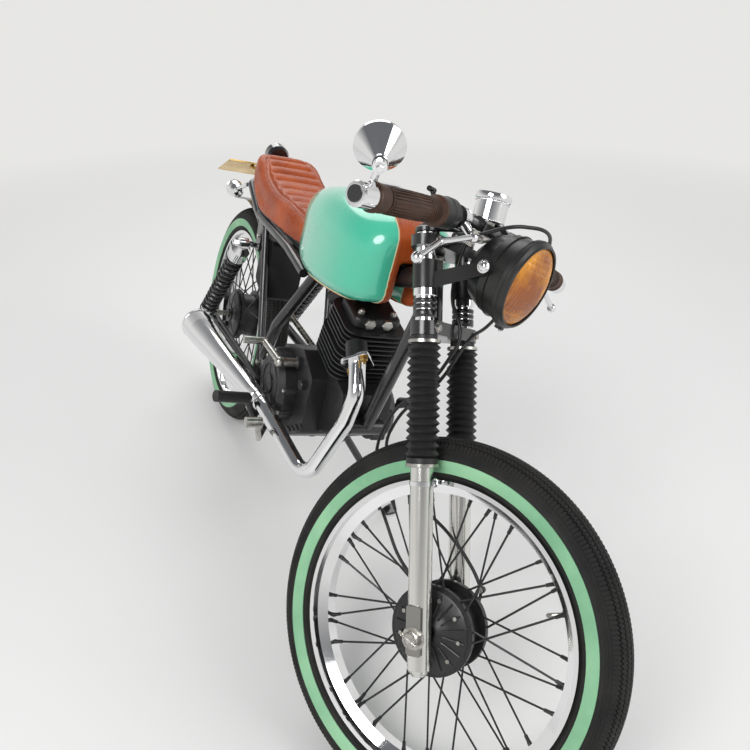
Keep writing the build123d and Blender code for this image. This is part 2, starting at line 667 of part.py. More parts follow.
def speedometer():
    axis = (-0.25, 0, 0.968)
    profile = [
        (0, 0),
        (SPEEDO_RADIUS * 0.86, 0),
        (SPEEDO_RADIUS * 0.94, 4),
        (SPEEDO_RADIUS * 0.94, SPEEDO_LENGTH - 9),
        (SPEEDO_RADIUS, SPEEDO_LENGTH - 7),
        (SPEEDO_RADIUS, SPEEDO_LENGTH),
        (0, SPEEDO_LENGTH),
    ]
    return turned(profile, SPEEDO_BOTTOM, axis)


def bar_axis(side):
    drop = math.radians(BAR_DROP)
    return (0.0, side * math.cos(drop), -math.sin(drop))


def bar_point(side, distance):
    """A point of the bar by its distance outward from the bend."""
    bend = (BAR_MIDDLE[0], side * BAR_BEND_Y, BAR_MIDDLE[2])
    return along(bend, bar_axis(side), distance)


def on_bar(profile, side):
    """A piece turned round the sloping part of the bar, heights outward from the bend."""
    return turned(profile, bar_point(side, 0), bar_axis(side))


def handlebar():
    """One low bar with its two clamps on arms from the upper fork clamp."""
    bar = bent_tube(
        [bar_point(-1, BAR_END), bar_point(-1, 0), bar_point(1, 0), bar_point(1, BAR_END)], BAR_RADIUS, 50)
    for side in SIDES:
        foot = steer_point(UPPER_CLAMP_HEIGHT + UPPER_CLAMP_THICKNESS + SEAT_GAP, FORK_OFFSET, side * RISER_SPREAD)
        head = along(BAR_MIDDLE, LEFT, side * RISER_SPREAD)
        neck = along(foot, STEER_UP, RISER_HEIGHT)
        bar += rod(foot, neck, RISER_RADIUS) + Pos(*neck) * Sphere(RISER_RADIUS)
        bar += rod(neck, head, RISER_RADIUS - 1)
        bar += rod(along(head, LEFT, -10), along(head, LEFT, 10), BAR_RADIUS + 6)
    return bar


def grip(side):
    """Barrel-shaped rubber grip with a flange at its inner end."""
    bore = BAR_RADIUS + BEARING_GAP
    profile = [
        (bore, GRIP_INNER),
        (GRIP_FLANGE_RADIUS, GRIP_INNER),
        (GRIP_FLANGE_RADIUS, GRIP_INNER + 5),
        (GRIP_RADIUS, GRIP_INNER + 10),
        (GRIP_RADIUS + 1.5, (GRIP_INNER + GRIP_OUTER) / 2),
        (GRIP_RADIUS - 1, GRIP_OUTER),
        (bore, GRIP_OUTER),
    ]
    return on_bar(profile, side)


def control_housing(side):
    """Black switch and throttle housing between the grip and the lever perch."""
    bore = BAR_RADIUS + BEARING_GAP
    profile = [
        (bore, HOUSING_INNER),
        (GRIP_FLANGE_RADIUS - 5, HOUSING_INNER),
        (GRIP_FLANGE_RADIUS, HOUSING_INNER + 10),
        (GRIP_FLANGE_RADIUS, GRIP_INNER - SEAT_GAP),
        (bore, GRIP_INNER - SEAT_GAP),
    ]
    housing = on_bar(profile, side)
    middle = bar_point(side, GRIP_INNER - 9)
    knob = along(middle, KNOB_OUT, KNOB_REACH)
    housing += rod(along(middle, KNOB_OUT, BAR_RADIUS + 4), knob, 3.5)
    return housing + rod(along(knob, LEFT, -8), along(knob, LEFT, 8), 4)


def lever(side):
    """Lever blade with a ball end, on a perch that clamps the bar."""
    bore = BAR_RADIUS + BEARING_GAP
    ring = [
        (bore, PERCH_Y - 9), (BAR_RADIUS + 7, PERCH_Y - 9), (BAR_RADIUS + 7, PERCH_Y + 9), (bore, PERCH_Y + 9)]
    perch = turned(ring, BAR_MIDDLE, (0, side, 0))
    pivot, knee, ball = [(x, side * y, z) for x, y, z in LEVER_PATH]
    root = along(BAR_MIDDLE, LEFT, side * PERCH_Y)
    perch += rod(along(root, (0.9, 0, -0.4), BAR_RADIUS + 3), pivot, 7.5) + Pos(*pivot) * Sphere(8.5)
    blade = rod(pivot, knee, 5) + Pos(*knee) * Sphere(5.5) + rod(knee, ball, 4.5)
    return perch + blade + Pos(*ball) * Sphere(LEVER_BALL_RADIUS)


def bar_end_clamp(side):
    bore = BAR_RADIUS + BEARING_GAP
    profile = [
        (bore, GRIP_OUTER + SEAT_GAP),
        (BAR_END_RADIUS - 1, GRIP_OUTER + SEAT_GAP),
        (BAR_END_RADIUS, GRIP_OUTER + 7),
        (BAR_END_RADIUS, BAR_END - 5),
        (BAR_END_RADIUS - 2, BAR_END - 2),
        (bore, BAR_END - 2),
    ]
    return on_bar(profile, side)


def mirror():
    """Bar-end mirror on the right: clamp, curved stalk and cone-backed round head."""
    head = turned(
        [(0, -4), (MIRROR_RADIUS - 2, -4), (MIRROR_RADIUS, -2), (MIRROR_RADIUS, 2),
         (9, MIRROR_DEPTH - 8), (9, MIRROR_DEPTH + 6), (0, MIRROR_DEPTH + 6)],
        MIRROR_CENTRE, MIRROR_BACK)
    joint = along(MIRROR_CENTRE, MIRROR_BACK, MIRROR_DEPTH)
    root = bar_point(-1, (GRIP_OUTER + BAR_END) / 2)
    low = along(root, (0.2, 0, 1), BAR_END_RADIUS - 1.5)
    elbow = ((low[0] + joint[0]) / 2 + 2, (low[1] + joint[1]) / 2 - 6, (low[2] + joint[2]) / 2 - 4)
    stalk = bent_tube([low, elbow, joint], MIRROR_STALK_RADIUS, 14)
    return bar_end_clamp(-1) + stalk + head


def cable(points):
    """A cable through straight runs, with arcs as large as its corners allow."""
    runs = [Vector(*end) - Vector(*start) for start, end in zip(points, points[1:])]
    bends = []
    for before, after in zip(runs, runs[1:]):
        turn = math.radians(before.get_angle(after))
        shorter = min(before.length, after.length)
        bends.append(min(CABLE_LARGEST_BEND, CABLE_BEND_SHARE * shorter / math.tan(turn / 2)))
    print("cable bends", [round(bend) for bend in bends])
    path = FilletPolyline(*points, radius=bends)
    return sweep(Plane(origin=path @ 0, z_dir=path % 0) * Circle(CABLE_RADIUS), path=path)


def control_cables():
    """Front brake cable from the right lever, and the speedometer's drive cable."""
    return group(cable(BRAKE_CABLE), cable(SPEEDO_CABLE))


# Frame

def head_tube_ends():
    low = LOWER_CLAMP_HEIGHT + LOWER_CLAMP_THICKNESS + HEAD_END_GAP
    return steer_point(low), steer_point(UPPER_CLAMP_HEIGHT - HEAD_END_GAP)


def frame_spine():
    """Head tube, spine under the tank and the cross tube at its rear end."""
    low, high = head_tube_ends()
    spine = rod(low, high, HEAD_TUBE_RADIUS)
    spine += rod(steer_point(SPINE_HEAD_HEIGHT), SPINE_REAR, SPINE_RADIUS)
    half = RAIL_SPREAD - RAIL_RADIUS - SEAT_GAP
    spine += rod(along(SPINE_REAR, LEFT, -half), along(SPINE_REAR, LEFT, half), CROSS_TUBE_RADIUS)
    return spine - rod(low, high, STEM_RADIUS + BEARING_GAP)


def down_tube():
    """Front tube from the head to the bolt in the engine's front lug."""
    top = steer_point(DOWN_TUBE_HEAD_HEIGHT)
    tube = rod(top, DOWN_TUBE_FOOT, DOWN_TUBE_RADIUS)
    low, high = head_tube_ends()
    tube -= rod(along(low, STEER_UP, -40), high, HEAD_TUBE_RADIUS + SEAT_GAP)
    return tube + rod(
        along(DOWN_TUBE_FOOT, LEFT, -LUG_HALF_WIDTH), along(DOWN_TUBE_FOOT, LEFT, LUG_HALF_WIDTH),
        DOWN_TUBE_RADIUS + 1)


def seat_rails():
    """Two rails and the loop that closes them behind the seat, one bent tube."""
    half = [
        (RAIL_FRONT[0], RAIL_SPREAD, RAIL_FRONT[1]),
        (RAIL_KNEE_X, RAIL_SPREAD, RAIL_HEIGHT),
        (230.0, RAIL_SPREAD, RAIL_HEIGHT),
        (TAIL_X + 50, RAIL_SPREAD - 4, TAIL_HEIGHT - 8),
        (TAIL_X, 40.0, TAIL_HEIGHT),
    ]
    other = [(x, -y, z) for x, y, z in reversed(half)]
    return bent_tube(half + other, RAIL_RADIUS, 20)


def pivot_plate(side):
    """Plate round the swingarm pivot, with the three corners that carry the tubes and the engine."""
    outline = []
    for x, z, radius in PIVOT_PLATE_CORNERS:
        outline += (Pos(PIVOT[0] + x, PIVOT[2] + z) * Circle(radius)).edges()
    plate = extrude(Plane.XZ * make_hull(outline), PIVOT_PLATE_THICKNESS)
    plate = Pos(0, side * PIVOT_PLATE_SPREAD + PIVOT_PLATE_THICKNESS / 2, 0) * plate
    middle = along(PIVOT, LEFT, side * PIVOT_PLATE_SPREAD)
    return plate - rod(along(middle, LEFT, -20), along(middle, LEFT, 20), AXLE_RADIUS + BEARING_GAP)


def rear_stay(side):
    """Pivot plate, the thick backbone tube down to it and the thin stay up to the seat rail."""
    y = side * PIVOT_PLATE_SPREAD
    top = (SPINE_REAR[0] - 14, side * BACKBONE_TOP, SPINE_REAR[2] - CROSS_TUBE_RADIUS - 3)
    stay = bent_tube(
        [top, (BACKBONE_KNEE[0], y, BACKBONE_KNEE[1]), (BACKBONE_FOOT[0], y, BACKBONE_FOOT[1])],
        BACKBONE_RADIUS, 90)
    rail = (STAY_TOP_X, side * RAIL_SPREAD, RAIL_HEIGHT - RAIL_RADIUS - SEAT_GAP)
    stay += rod((STAY_FOOT[0], y, STAY_FOOT[1]), rail, STAY_RADIUS)
    stay -= rod(
        along(SPINE_REAR, LEFT, -RAIL_SPREAD), along(SPINE_REAR, LEFT, RAIL_SPREAD), CROSS_TUBE_RADIUS + SEAT_GAP)
    rail_line = (RAIL_KNEE_X, side * RAIL_SPREAD, RAIL_HEIGHT)
    stay -= rod(rail_line, (STAY_TOP_X - 60, rail_line[1], RAIL_HEIGHT), RAIL_RADIUS + SEAT_GAP)
    return pivot_plate(side) + stay


def swingarm():
    """Two arms, the cross tube and the pivot bolt, with lugs for the axle and the shocks."""
    inner = PIVOT_PLATE_SPREAD - PIVOT_PLATE_THICKNESS / 2 - SEAT_GAP
    arm = rod(along(PIVOT, LEFT, -inner), along(PIVOT, LEFT, inner), PIVOT_TUBE_RADIUS)
    arm += rod(along(PIVOT, LEFT, -SWINGARM_SPREAD - PIVOT_BOLT_REACH), along(PIVOT, LEFT, SWINGARM_SPREAD + PIVOT_BOLT_REACH),
        AXLE_RADIUS)
    for side in SIDES:
        y = side * SWINGARM_SPREAD
        front = (PIVOT[0], y, PIVOT[2])
        arm += rod(along(front, LEFT, -SWINGARM_RADIUS + 1), along(front, LEFT, SWINGARM_RADIUS - 1), PIVOT_TUBE_RADIUS)
        arm += rod(front, (-14.0, y, TYRE_RADIUS - 1), SWINGARM_RADIUS)
        arm += Pos(0, y, TYRE_RADIUS) * Box(60, 2 * SWINGARM_RADIUS - 8, 2 * SWINGARM_RADIUS + 6)
        lug = (SHOCK_BOTTOM[0], y, SHOCK_BOTTOM[1])
        arm += rod(lug, along(lug, LEFT, side * (SHOCK_SPREAD - SWINGARM_SPREAD + 14)), AXLE_RADIUS)
        arm -= rod((0, y - 30, TYRE_RADIUS), (0, y + 30, TYRE_RADIUS), AXLE_RADIUS + BEARING_GAP)
    return arm


def shock_line(side):
    """Lower eye, upper eye, direction and length of a rear shock."""
    low = (SHOCK_BOTTOM[0], side * SHOCK_SPREAD, SHOCK_BOTTOM[1])
    high = (SHOCK_TOP[0], side * SHOCK_SPREAD, SHOCK_TOP[1])
    run = Vector(*high) - Vector(*low)
    return low, high, tuple(run.normalized()), run.length


def rear_shock(side):
    """Damper with its lower eye, upper cap and the bolt into the frame's lug."""
    low, high, axis, length = shock_line(side)
    spring_top = length - SHOCK_CAP_LENGTH
    damper = turned(
        [(0, 8), (SHOCK_BODY_RADIUS, 8), (SHOCK_BODY_RADIUS, 18), (SHOCK_SPRING_RADIUS, 18),
         (SHOCK_SPRING_RADIUS, 22), (SHOCK_BODY_RADIUS, 22), (SHOCK_BODY_RADIUS, spring_top),
         (SHOCK_SPRING_RADIUS + 1, spring_top), (SHOCK_SPRING_RADIUS + 1, length - 24), (12, length - 10),
         (0, length - 10)],
        low, axis)
    for eye in (low, high):
        damper += rod(along(eye, LEFT, -10), along(eye, LEFT, 10), SHOCK_EYE_RADIUS)
    damper -= rod(along(low, LEFT, -30), along(low, LEFT, 30), AXLE_RADIUS + BEARING_GAP)
    rail = side * (RAIL_SPREAD + RAIL_RADIUS + SEAT_GAP)
    damper += rod(high, (SHOCK_TOP[0], rail - side * 8, SHOCK_TOP[1]), AXLE_RADIUS)
    return damper


def shock_spring(side):
    """Coil spring over the damper, its turns drawn as rings that touch in a saw-tooth."""
    low, high, axis, length = shock_line(side)
    start = 22 + SEAT_GAP
    span = length - SHOCK_CAP_LENGTH - SEAT_GAP - start
    return bellows(
        low, axis, SHOCK_BODY_RADIUS + BEARING_GAP, start, span, 3, SHOCK_COILS, SHOCK_SPRING_RADIUS,
        SHOCK_VALLEY_RADIUS)


def shock_hangers():
    """The lugs that hang from the seat rails and take the upper shock bolts."""
    sides = []
    for side in SIDES:
        y = side * RAIL_SPREAD
        outline = make_hull(
            (Pos(SHOCK_TOP[0], SHOCK_TOP[1]) * Circle(15)).edges()
            + (Pos(SHOCK_TOP[0] - 4, RAIL_HEIGHT - RAIL_RADIUS - 4) * Circle(20)).edges())
        hanger = Pos(0, y + HANGER_THICKNESS / 2, 0) * extrude(Plane.XZ * outline, HANGER_THICKNESS)
        hanger -= rod((100.0, y, RAIL_HEIGHT), (RAIL_KNEE_X, y, RAIL_HEIGHT), RAIL_RADIUS + SEAT_GAP)
        bolt = (SHOCK_TOP[0], y, SHOCK_TOP[1])
        hanger -= rod(along(bolt, LEFT, -30), along(bolt, LEFT, 30), AXLE_RADIUS + BEARING_GAP)
        sides.append(hanger)
    return group(*sides)


# Engine

def cylinder_plane(distance):
    """Plane across the leaning cylinder at a distance up from its base, its x to the left."""
    turn = math.radians(CYLINDER_LEAN)
    axis = (math.sin(turn), 0.0, math.cos(turn))
    return Plane(origin=along((CYLINDER_X, 0.0, CYLINDER_BASE), axis, distance), x_dir=LEFT, z_dir=axis)


def finned_block(start, count, width, core_radius):
    """A round core with square cooling fins at even steps."""
    block = extrude(Circle(core_radius), count * FIN_PITCH)
    fin = extrude(RectangleRounded(width, width, FIN_CORNER), FIN_THICKNESS)
    block += [Pos(0, 0, number * FIN_PITCH + FIN_THICKNESS) * fin for number in range(count)]
    return cylinder_plane(start) * block


def head_start():
    return FIN_COUNT * FIN_PITCH + 2 * SEAT_GAP


def cylinder():
    return finned_block(SEAT_GAP, FIN_COUNT, FIN_WIDTH, BARREL_RADIUS)


def cylinder_head():
    """Finned head with its rocker box and the exhaust and inlet stubs."""
    head = finned_block(head_start(), HEAD_FIN_COUNT, HEAD_WIDTH, BARREL_RADIUS + 4)
    rocker = extrude(RectangleRounded(HEAD_WIDTH * 0.78, HEAD_WIDTH * 0.7, 16), ROCKER_HEIGHT)
    rocker = fillet(rocker.faces().sort_by(Axis.Z)[-1].edges(), 9)
    head += cylinder_plane(head_start() + HEAD_FIN_COUNT * FIN_PITCH) * rocker
    inlet = cylinder_plane(head_start() + 24).origin
    inlet = (inlet.X, inlet.Y, inlet.Z)
    head += rod(inlet, along(inlet, INLET_OUT, INLET_REACH), 19)
    stub = along(EXHAUST_PORT, EXHAUST_OUT, -36)
    return head + rod(stub, EXHAUST_PORT, 21)


def slab(outline, half_width, corner):
    """A side-view outline made as thick as the engine there, its corners rounded."""
    face = make_face(FilletPolyline(*outline, radius=corner, close=True))
    return Pos(0, half_width, 0) * extrude(Plane.XZ * face, 2 * half_width)


def crankcase():
    """Engine block with its narrower nose below the cylinder and a pocket for the front sprocket."""
    case = slab(CRANKCASE_OUTLINE, CRANKCASE_HALF_WIDTH, 14) + slab(NOSE_OUTLINE, NOSE_HALF_WIDTH, 12)
    case -= cylinder_plane(0) * extrude(Rectangle(4 * CRANKCASE_HALF_WIDTH, 260), 120)
    pocket = along(FRONT_SPROCKET, LEFT, -CHAIN_WIDTH)
    return case - rod(
        pocket, along(pocket, LEFT, CRANKCASE_HALF_WIDTH), FRONT_SPROCKET_RADIUS + CHAIN_HEIGHT + 8)


def side_cover(centre, radius, depth, side):
    start = CRANKCASE_HALF_WIDTH + SEAT_GAP
    profile = [
        (0, start),
        (radius, start),
        (radius, start + depth * 0.7),
        (radius * 0.86, start + depth),
        (0, start + depth),
    ]
    return turned(profile, (centre[0], 0, centre[1]), (0, side, 0))


def engine_covers():
    """Clutch cover on the right, generator cover and chain cover on the left."""
    outline = make_hull(
        (Pos(FRONT_SPROCKET[0], FRONT_SPROCKET[2]) * Circle(CHAIN_COVER_RADIUS)).edges()
        + (Pos(*CHAIN_COVER_FOOT) * Circle(CHAIN_COVER_FOOT_RADIUS)).edges())
    outside = CRANKCASE_HALF_WIDTH + CHAIN_COVER_DEPTH
    chain_cover = Pos(0, outside, 0) * extrude(Plane.XZ * outline, CHAIN_COVER_DEPTH - SEAT_GAP)
    left = side_cover(GENERATOR_CENTRE, GENERATOR_RADIUS, GENERATOR_DEPTH, 1) + chain_cover
    return group(side_cover(CLUTCH_CENTRE, CLUTCH_RADIUS, CLUTCH_DEPTH, -1), left)


def carburettor():
    """Carburettor behind the head, with its float bowl and round air cleaner."""
    inlet = cylinder_plane(head_start() + 24).origin
    mouth = along((inlet.X, inlet.Y, inlet.Z), INLET_OUT, INLET_REACH + SEAT_GAP)
    rear = along(mouth, INLET_OUT, 52)
    body = rod(mouth, rear, 20)
    centre = along(mouth, INLET_OUT, 26)
    body += rod(along(centre, (0, 0, 1), -50), along(centre, (0, 0, 1), 22), 18)
    return body + rod(rear, along(rear, AIR_CLEANER_OUT, 42), 20)


def exhaust_pipe():
    """Diamond port flange and the header that sweeps down, under and back to the muffler."""
    flange = make_hull(
        (Pos(0, 30) * Circle(8)).edges() + (Pos(0, -30) * Circle(8)).edges() + Circle(22).edges())
    seat_point = along(EXHAUST_PORT, EXHAUST_OUT, SEAT_GAP)
    pipe = Plane(origin=seat_point, x_dir=LEFT, z_dir=EXHAUST_OUT) * extrude(flange, 8)
    back = Vector(*MUFFLER_REAR) - Vector(*MUFFLER_FRONT)
    axis = tuple(back.normalized())
    points = [
        along(EXHAUST_PORT, EXHAUST_OUT, 4),
        *HEADER_PATH,
        along(MUFFLER_FRONT, axis, -HEADER_TAIL),
        along(MUFFLER_FRONT, axis, -SEAT_GAP),
    ]
    return pipe + bent_tube(points, HEADER_RADIUS, HEADER_BENDS)


def muffler_cone(margin, mouth):
    """The muffler's outside, grown by a margin, with its open mouth if one is asked for."""
    run = Vector(*MUFFLER_REAR) - Vector(*MUFFLER_FRONT)
    length = run.length
    front = MUFFLER_FRONT_RADIUS + margin
    rear = MUFFLER_REAR_RADIUS + margin
    profile = [(0, 0), (front, 0), (front, 24), (rear, length - 60), (rear, length)]
    if mouth:
        bore = rear - MUFFLER_WALL
        profile += [(bore, length), (bore, length - MUFFLER_MOUTH), (0, length - MUFFLER_MOUTH)]
    else:
        profile += [(0, length)]
    return turned(profile, MUFFLER_FRONT, tuple(run))


def muffler():
    return muffler_cone(0, True)


def muffler_hanger():
    """Strut from the swingarm's pivot bolt to the inner side of the muffler."""
    run = Vector(*MUFFLER_REAR) - Vector(*MUFFLER_FRONT)
    place = along(MUFFLER_FRONT, tuple(run.normalized()), HANGER_ON_MUFFLER)
    plate = (PIVOT[0], -SWINGARM_SPREAD - PIVOT_BOLT_REACH - SEAT_GAP, PIVOT[2])
    elbow = along(plate, LEFT, -HANGER_RADIUS - 1)
    strut = rod(plate, elbow, HANGER_RADIUS) + Pos(*elbow) * Sphere(HANGER_RADIUS)
    return strut + rod(elbow, along(place, LEFT, 12), HANGER_RADIUS) - muffler_cone(SEAT_GAP, False)


def kick_starter():
    """Shaft out of the crankcase, arm and the pedal on its end."""
    shaft = (KICK_SHAFT[0], -CRANKCASE_HALF_WIDTH - SEAT_GAP, KICK_SHAFT[1])
    elbow = along(shaft, LEFT, -KICK_REACH)
    arm = rod(shaft, elbow, 9) + Pos(*elbow) * Sphere(11) + rod(elbow, KICK_TIP, 7)
    return arm + Pos(*KICK_TIP) * Sphere(8) + rod(KICK_TIP, along(KICK_TIP, LEFT, -KICK_PEDAL), 8)


def gear_lever():
    root = (GEAR_ROOT[0], CRANKCASE_HALF_WIDTH + SEAT_GAP, GEAR_ROOT[1])
    toe = (GEAR_TOE[0], root[1] + 16, GEAR_TOE[1])
    arm = rod(root, along(root, LEFT, 18), 9)
    return arm + rod(along(root, LEFT, 11), toe, 5) + rod(along(toe, LEFT, -5), along(toe, LEFT, 36), 8)


def brake_pedal():
    root = (BRAKE_ROOT[0], -CRANKCASE_HALF_WIDTH - SEAT_GAP, BRAKE_ROOT[1])
    hub_end = along(root, LEFT, -32)
    arm = rod(root, hub_end, 10) + rod(along(root, LEFT, -24), BRAKE_KNEE, 6)
    arm += rod(along(root, LEFT, -14), along(BRAKE_HEEL, LEFT, -8.0 - SEAT_GAP), 4)
    arm += Pos(*BRAKE_KNEE) * Sphere(6) + rod(BRAKE_KNEE, BRAKE_PAD, 6)
    return arm + rod(along(BRAKE_PAD, LEFT, 9), along(BRAKE_PAD, LEFT, -24), 11)


def brake_rod():
    """Rod from the brake pedal's heel to the arm on the rear brake plate."""
    cam = wheel_point(REAR_AXLE, BRAKE_CAM_RADIUS, REAR_CAM_ANGLE, BRAKE_ROD_LINE)
    tip = wheel_point(cam, BRAKE_ARM_LENGTH, REAR_ARM_ANGLE, 0)
    return rod(tip, BRAKE_HEEL, 3) + Pos(*BRAKE_HEEL) * Sphere(4)


def footpeg(side):
    """Bracket from the pivot plate round under the exhaust, and the rubber peg on its end."""
    start = PIVOT_PLATE_SPREAD + PIVOT_PLATE_THICKNESS / 2 + SEAT_GAP
    root = (PEG_ROOT[0], side * start, PEG_ROOT[1])
    knee, elbow, end = [(x, side * y, z) for x, y, z in (PEG_KNEE, PEG_ELBOW, PEG_END)]
    peg = rod(root, along(root, LEFT, side * 10), 11) + rod(along(root, LEFT, side * 8), knee, 7)
    peg += Pos(*knee) * Sphere(8.5) + rod(knee, elbow, 7) + Pos(*elbow) * Sphere(12.6)
    return peg + rod(elbow, end, PEG_RADIUS)


def chain():
    """The drive chain as one closed loop, and the front sprocket inside it."""
    rear = along(REAR_AXLE, LEFT, CHAIN_LINE)
    bands = []
    for extra in (CHAIN_HEIGHT, 0):
        circles = (Pos(FRONT_SPROCKET[0], FRONT_SPROCKET[2]) * Circle(FRONT_SPROCKET_RADIUS + extra)).edges()
        circles += (Pos(rear[0], rear[2]) * Circle(SPROCKET_RADIUS + CHAIN_CLEARANCE + extra)).edges()
        bands.append(make_hull(circles))
    loop = Pos(0, CHAIN_LINE + CHAIN_WIDTH / 2, 0) * extrude(Plane.XZ * (bands[0] - bands[1]), CHAIN_WIDTH)
    half = SPROCKET_THICKNESS / 2
    front = rod(along(FRONT_SPROCKET, LEFT, -half), along(FRONT_SPROCKET, LEFT, half), FRONT_SPROCKET_RADIUS - SEAT_GAP)
    return group(loop, front)


# Tank, seat and tail

def lofted(sections):
    return loft([section_at(*row) for row in sections])


def seat_joint():
    """Plane where the seat's nose tucks under the tank's tail; it faces forward and up."""
    low = Vector(TANK_TAIL_LOW[0], 0, TANK_TAIL_LOW[1])
    high = Vector(TANK_TAIL_HIGH[0], 0, TANK_TAIL_HIGH[1])
    return Plane(origin=low, x_dir=LEFT, z_dir=Vector(*LEFT).cross(high - low))


def tank_body():
    """Painted and leather parts of the tank as one, over the tunnel that straddles the spine."""
    tank = lofted(TANK_SECTIONS)
    tank -= seat_joint() * extrude(Rectangle(600, 600), -300)
    front = steer_point(SPINE_HEAD_HEIGHT)
    above = SPINE_RADIUS + TUNNEL_GAP
    tunnel = Polyline(
        (front[0], front[2] + above), (SPINE_REAR[0] - 100, SPINE_REAR[2] + above - 28),
        (SPINE_REAR[0] - 100, 500), (front[0], 500), close=True)
    tank -= Pos(0, above, 0) * extrude(Plane.XZ * make_face(tunnel), 2 * above)
    return tank - rod(
        along(SPINE_REAR, LEFT, -200), along(SPINE_REAR, LEFT, 200), CROSS_TUBE_RADIUS + TUNNEL_GAP)


def paint_prism():
    """Everything behind and above the edge of the paint."""
    outline = Polyline(*PAINT_EDGE, (300, 900), (300, 640), close=True)
    return Pos(0, 200, 0) * extrude(Plane.XZ * make_face(outline), 400)


def fuel_tank():
    return tank_body() & paint_prism()


def tank_leather():
    """Leather over the tank's nose and along its lower edge."""
    return tank_body() - Pos(SEAT_GAP, 0, -SEAT_GAP) * paint_prism()


def seat():
    """Long cushion with a kicked-up tail; its nose tucks under the tank."""
    cushion = lofted(SEAT_SECTIONS)
    return cushion - seat_joint() * Pos(0, 0, -SEAT_GAP) * extrude(Rectangle(600, 600), 300)


def tail_lamp():
    """Black dome lamp behind the seat on its bracket from the tail loop."""
    profile = [(0, 0), (25, 0), (30, 10), (30, 34), (24, 48), (12, 54), (0, 56)]
    lamp = turned(profile, LAMP_BASE, (-0.95, 0, 0.12))
    foot = (TAIL_X, 0.0, TAIL_HEIGHT + RAIL_RADIUS + SEAT_GAP)
    neck = along(foot, (0, 0, 1), 9)
    return lamp + rod(foot, neck, 8) + rod(along(neck, (0, 0, 1), -2), along(LAMP_BASE, (-0.95, 0, 0.12), 16), 7)


def number_plate():
    """Blank plate lying back behind the tyre on its two stalks."""
    plate = Location(PLATE_CENTRE, (0, -PLATE_SLOPE, 0)) * Box(PLATE_LENGTH, PLATE_WIDTH, 3)
    for side in SIDES:
        foot = (TAIL_X - RAIL_RADIUS - SEAT_GAP, side * 24.0, TAIL_HEIGHT)
        plate += rod(foot, (PLATE_CENTRE[0] + 30, side * 24.0, PLATE_CENTRE[2] + 12), 5)
    return plate


def indicator(side):
    """Chrome bullet on a short stalk from the tail loop."""
    body = (INDICATOR[0], side * INDICATOR[1], INDICATOR[2])
    root = (TAIL_X + 42, side * (RAIL_SPREAD + RAIL_RADIUS - STALK_SUNK), TAIL_HEIGHT - 14)
    lamp = turned(
        [(0, 26), (12, 24), (19, 12), (22, -6), (22, -14), (0, -16)], body, (1, 0, 0.05))
    return lamp + rod(root, body, 5)


def rear_mudguard():
    """Short guard over the top of the rear tyre, hung from the tail loop."""
    inner = TYRE_RADIUS + GUARD_CLEARANCE
    section = Pos(inner + GUARD_THICKNESS / 2, 0) * Rectangle(GUARD_THICKNESS, GUARD_WIDTH)
    guard = revolve(Plane.XZ * section, Axis.Z, GUARD_END - GUARD_START)
    start = math.radians(GUARD_START)
    place = Plane(origin=REAR_AXLE, x_dir=(math.cos(start), 0, math.sin(start)), z_dir=(0, -1, 0))
    top = REAR_AXLE[2] + math.sqrt((inner + GUARD_THICKNESS / 2) ** 2 - TAIL_X ** 2)
    hanger = rod((TAIL_X, 0, top), (TAIL_X, 0, TAIL_HEIGHT - RAIL_RADIUS - SEAT_GAP), GUARD_HANGER_RADIUS)
    return place * guard + hanger


def battery_box():
    """Black box inside the right stay, under the seat."""
    face = make_face(FilletPolyline(*BATTERY_OUTLINE, radius=12, close=True))
    return Pos(0, BATTERY_LEFT, 0) * extrude(Plane.XZ * face, BATTERY_LEFT - BATTERY_RIGHT)


# Placing the machine: steered to its stop, leaning on the stand, both tyres on the floor

STEER_TURN = Location(Plane(origin=STEER_FOOT, z_dir=STEER_UP))
STEERED = STEER_TURN * Rot(0, 0, STEER_LOCK) * STEER_TURN.inverse()


def tyre_bottom(place, centre):
    """Height of the lowest point of a tyre round this centre once it is placed."""
    middle = place * Pos(*centre)
    axle_rise = (middle * Pos(*LEFT)).position.Z - middle.position.Z
    ring = TYRE_RADIUS - TYRE_SECTION_RADIUS
    return middle.position.Z - ring * math.sqrt(1 - axle_rise ** 2) - TYRE_SECTION_RADIUS


def leaning(pitch):
    return Rot(0, pitch, 0) * Rot(-LEAN, 0, 0)


def tyre_step(pitch):
    """How much higher the front tyre's lowest point is than the rear one's."""
    place = leaning(pitch)
    return tyre_bottom(place * STEERED, FRONT_AXLE) - tyre_bottom(place, REAR_AXLE)


def level_pitch():
    """The small pitch that brings both tyres to one height."""
    pitch = 0.0
    for _ in range(4):
        slope = tyre_step(pitch + 0.5) - tyre_step(pitch - 0.5)
        pitch -= tyre_step(pitch) / slope
    return pitch


ON_FLOOR = leaning(level_pitch())
ON_FLOOR = Pos(0, 0, -tyre_bottom(ON_FLOOR, REAR_AXLE)) * ON_FLOOR
TO_UPRIGHT = ON_FLOOR.inverse()
FLOOR_UP = tuple((TO_UPRIGHT * Pos(0, 0, 1)).position - TO_UPRIGHT.position)


def floor_point(x, y):
    """The floor under a point of the upright machine, found along that machine's own height."""
    base = TO_UPRIGHT.position
    rise = ((base.X - x) * FLOOR_UP[0] + (base.Y - y) * FLOOR_UP[1]) / FLOOR_UP[2]
    return (x, y, base.Z + rise)


STAND_FOOT = floor_point(STAND_FOOT_X, STAND_FOOT_SPREAD)
STAND_RUN = (Vector(*STAND_FOOT) - Vector(*STAND_PIVOT)).normalized()
STAND_AXIS = tuple(STAND_RUN.cross(Vector(-1, 0.05, 0.05)).normalized())


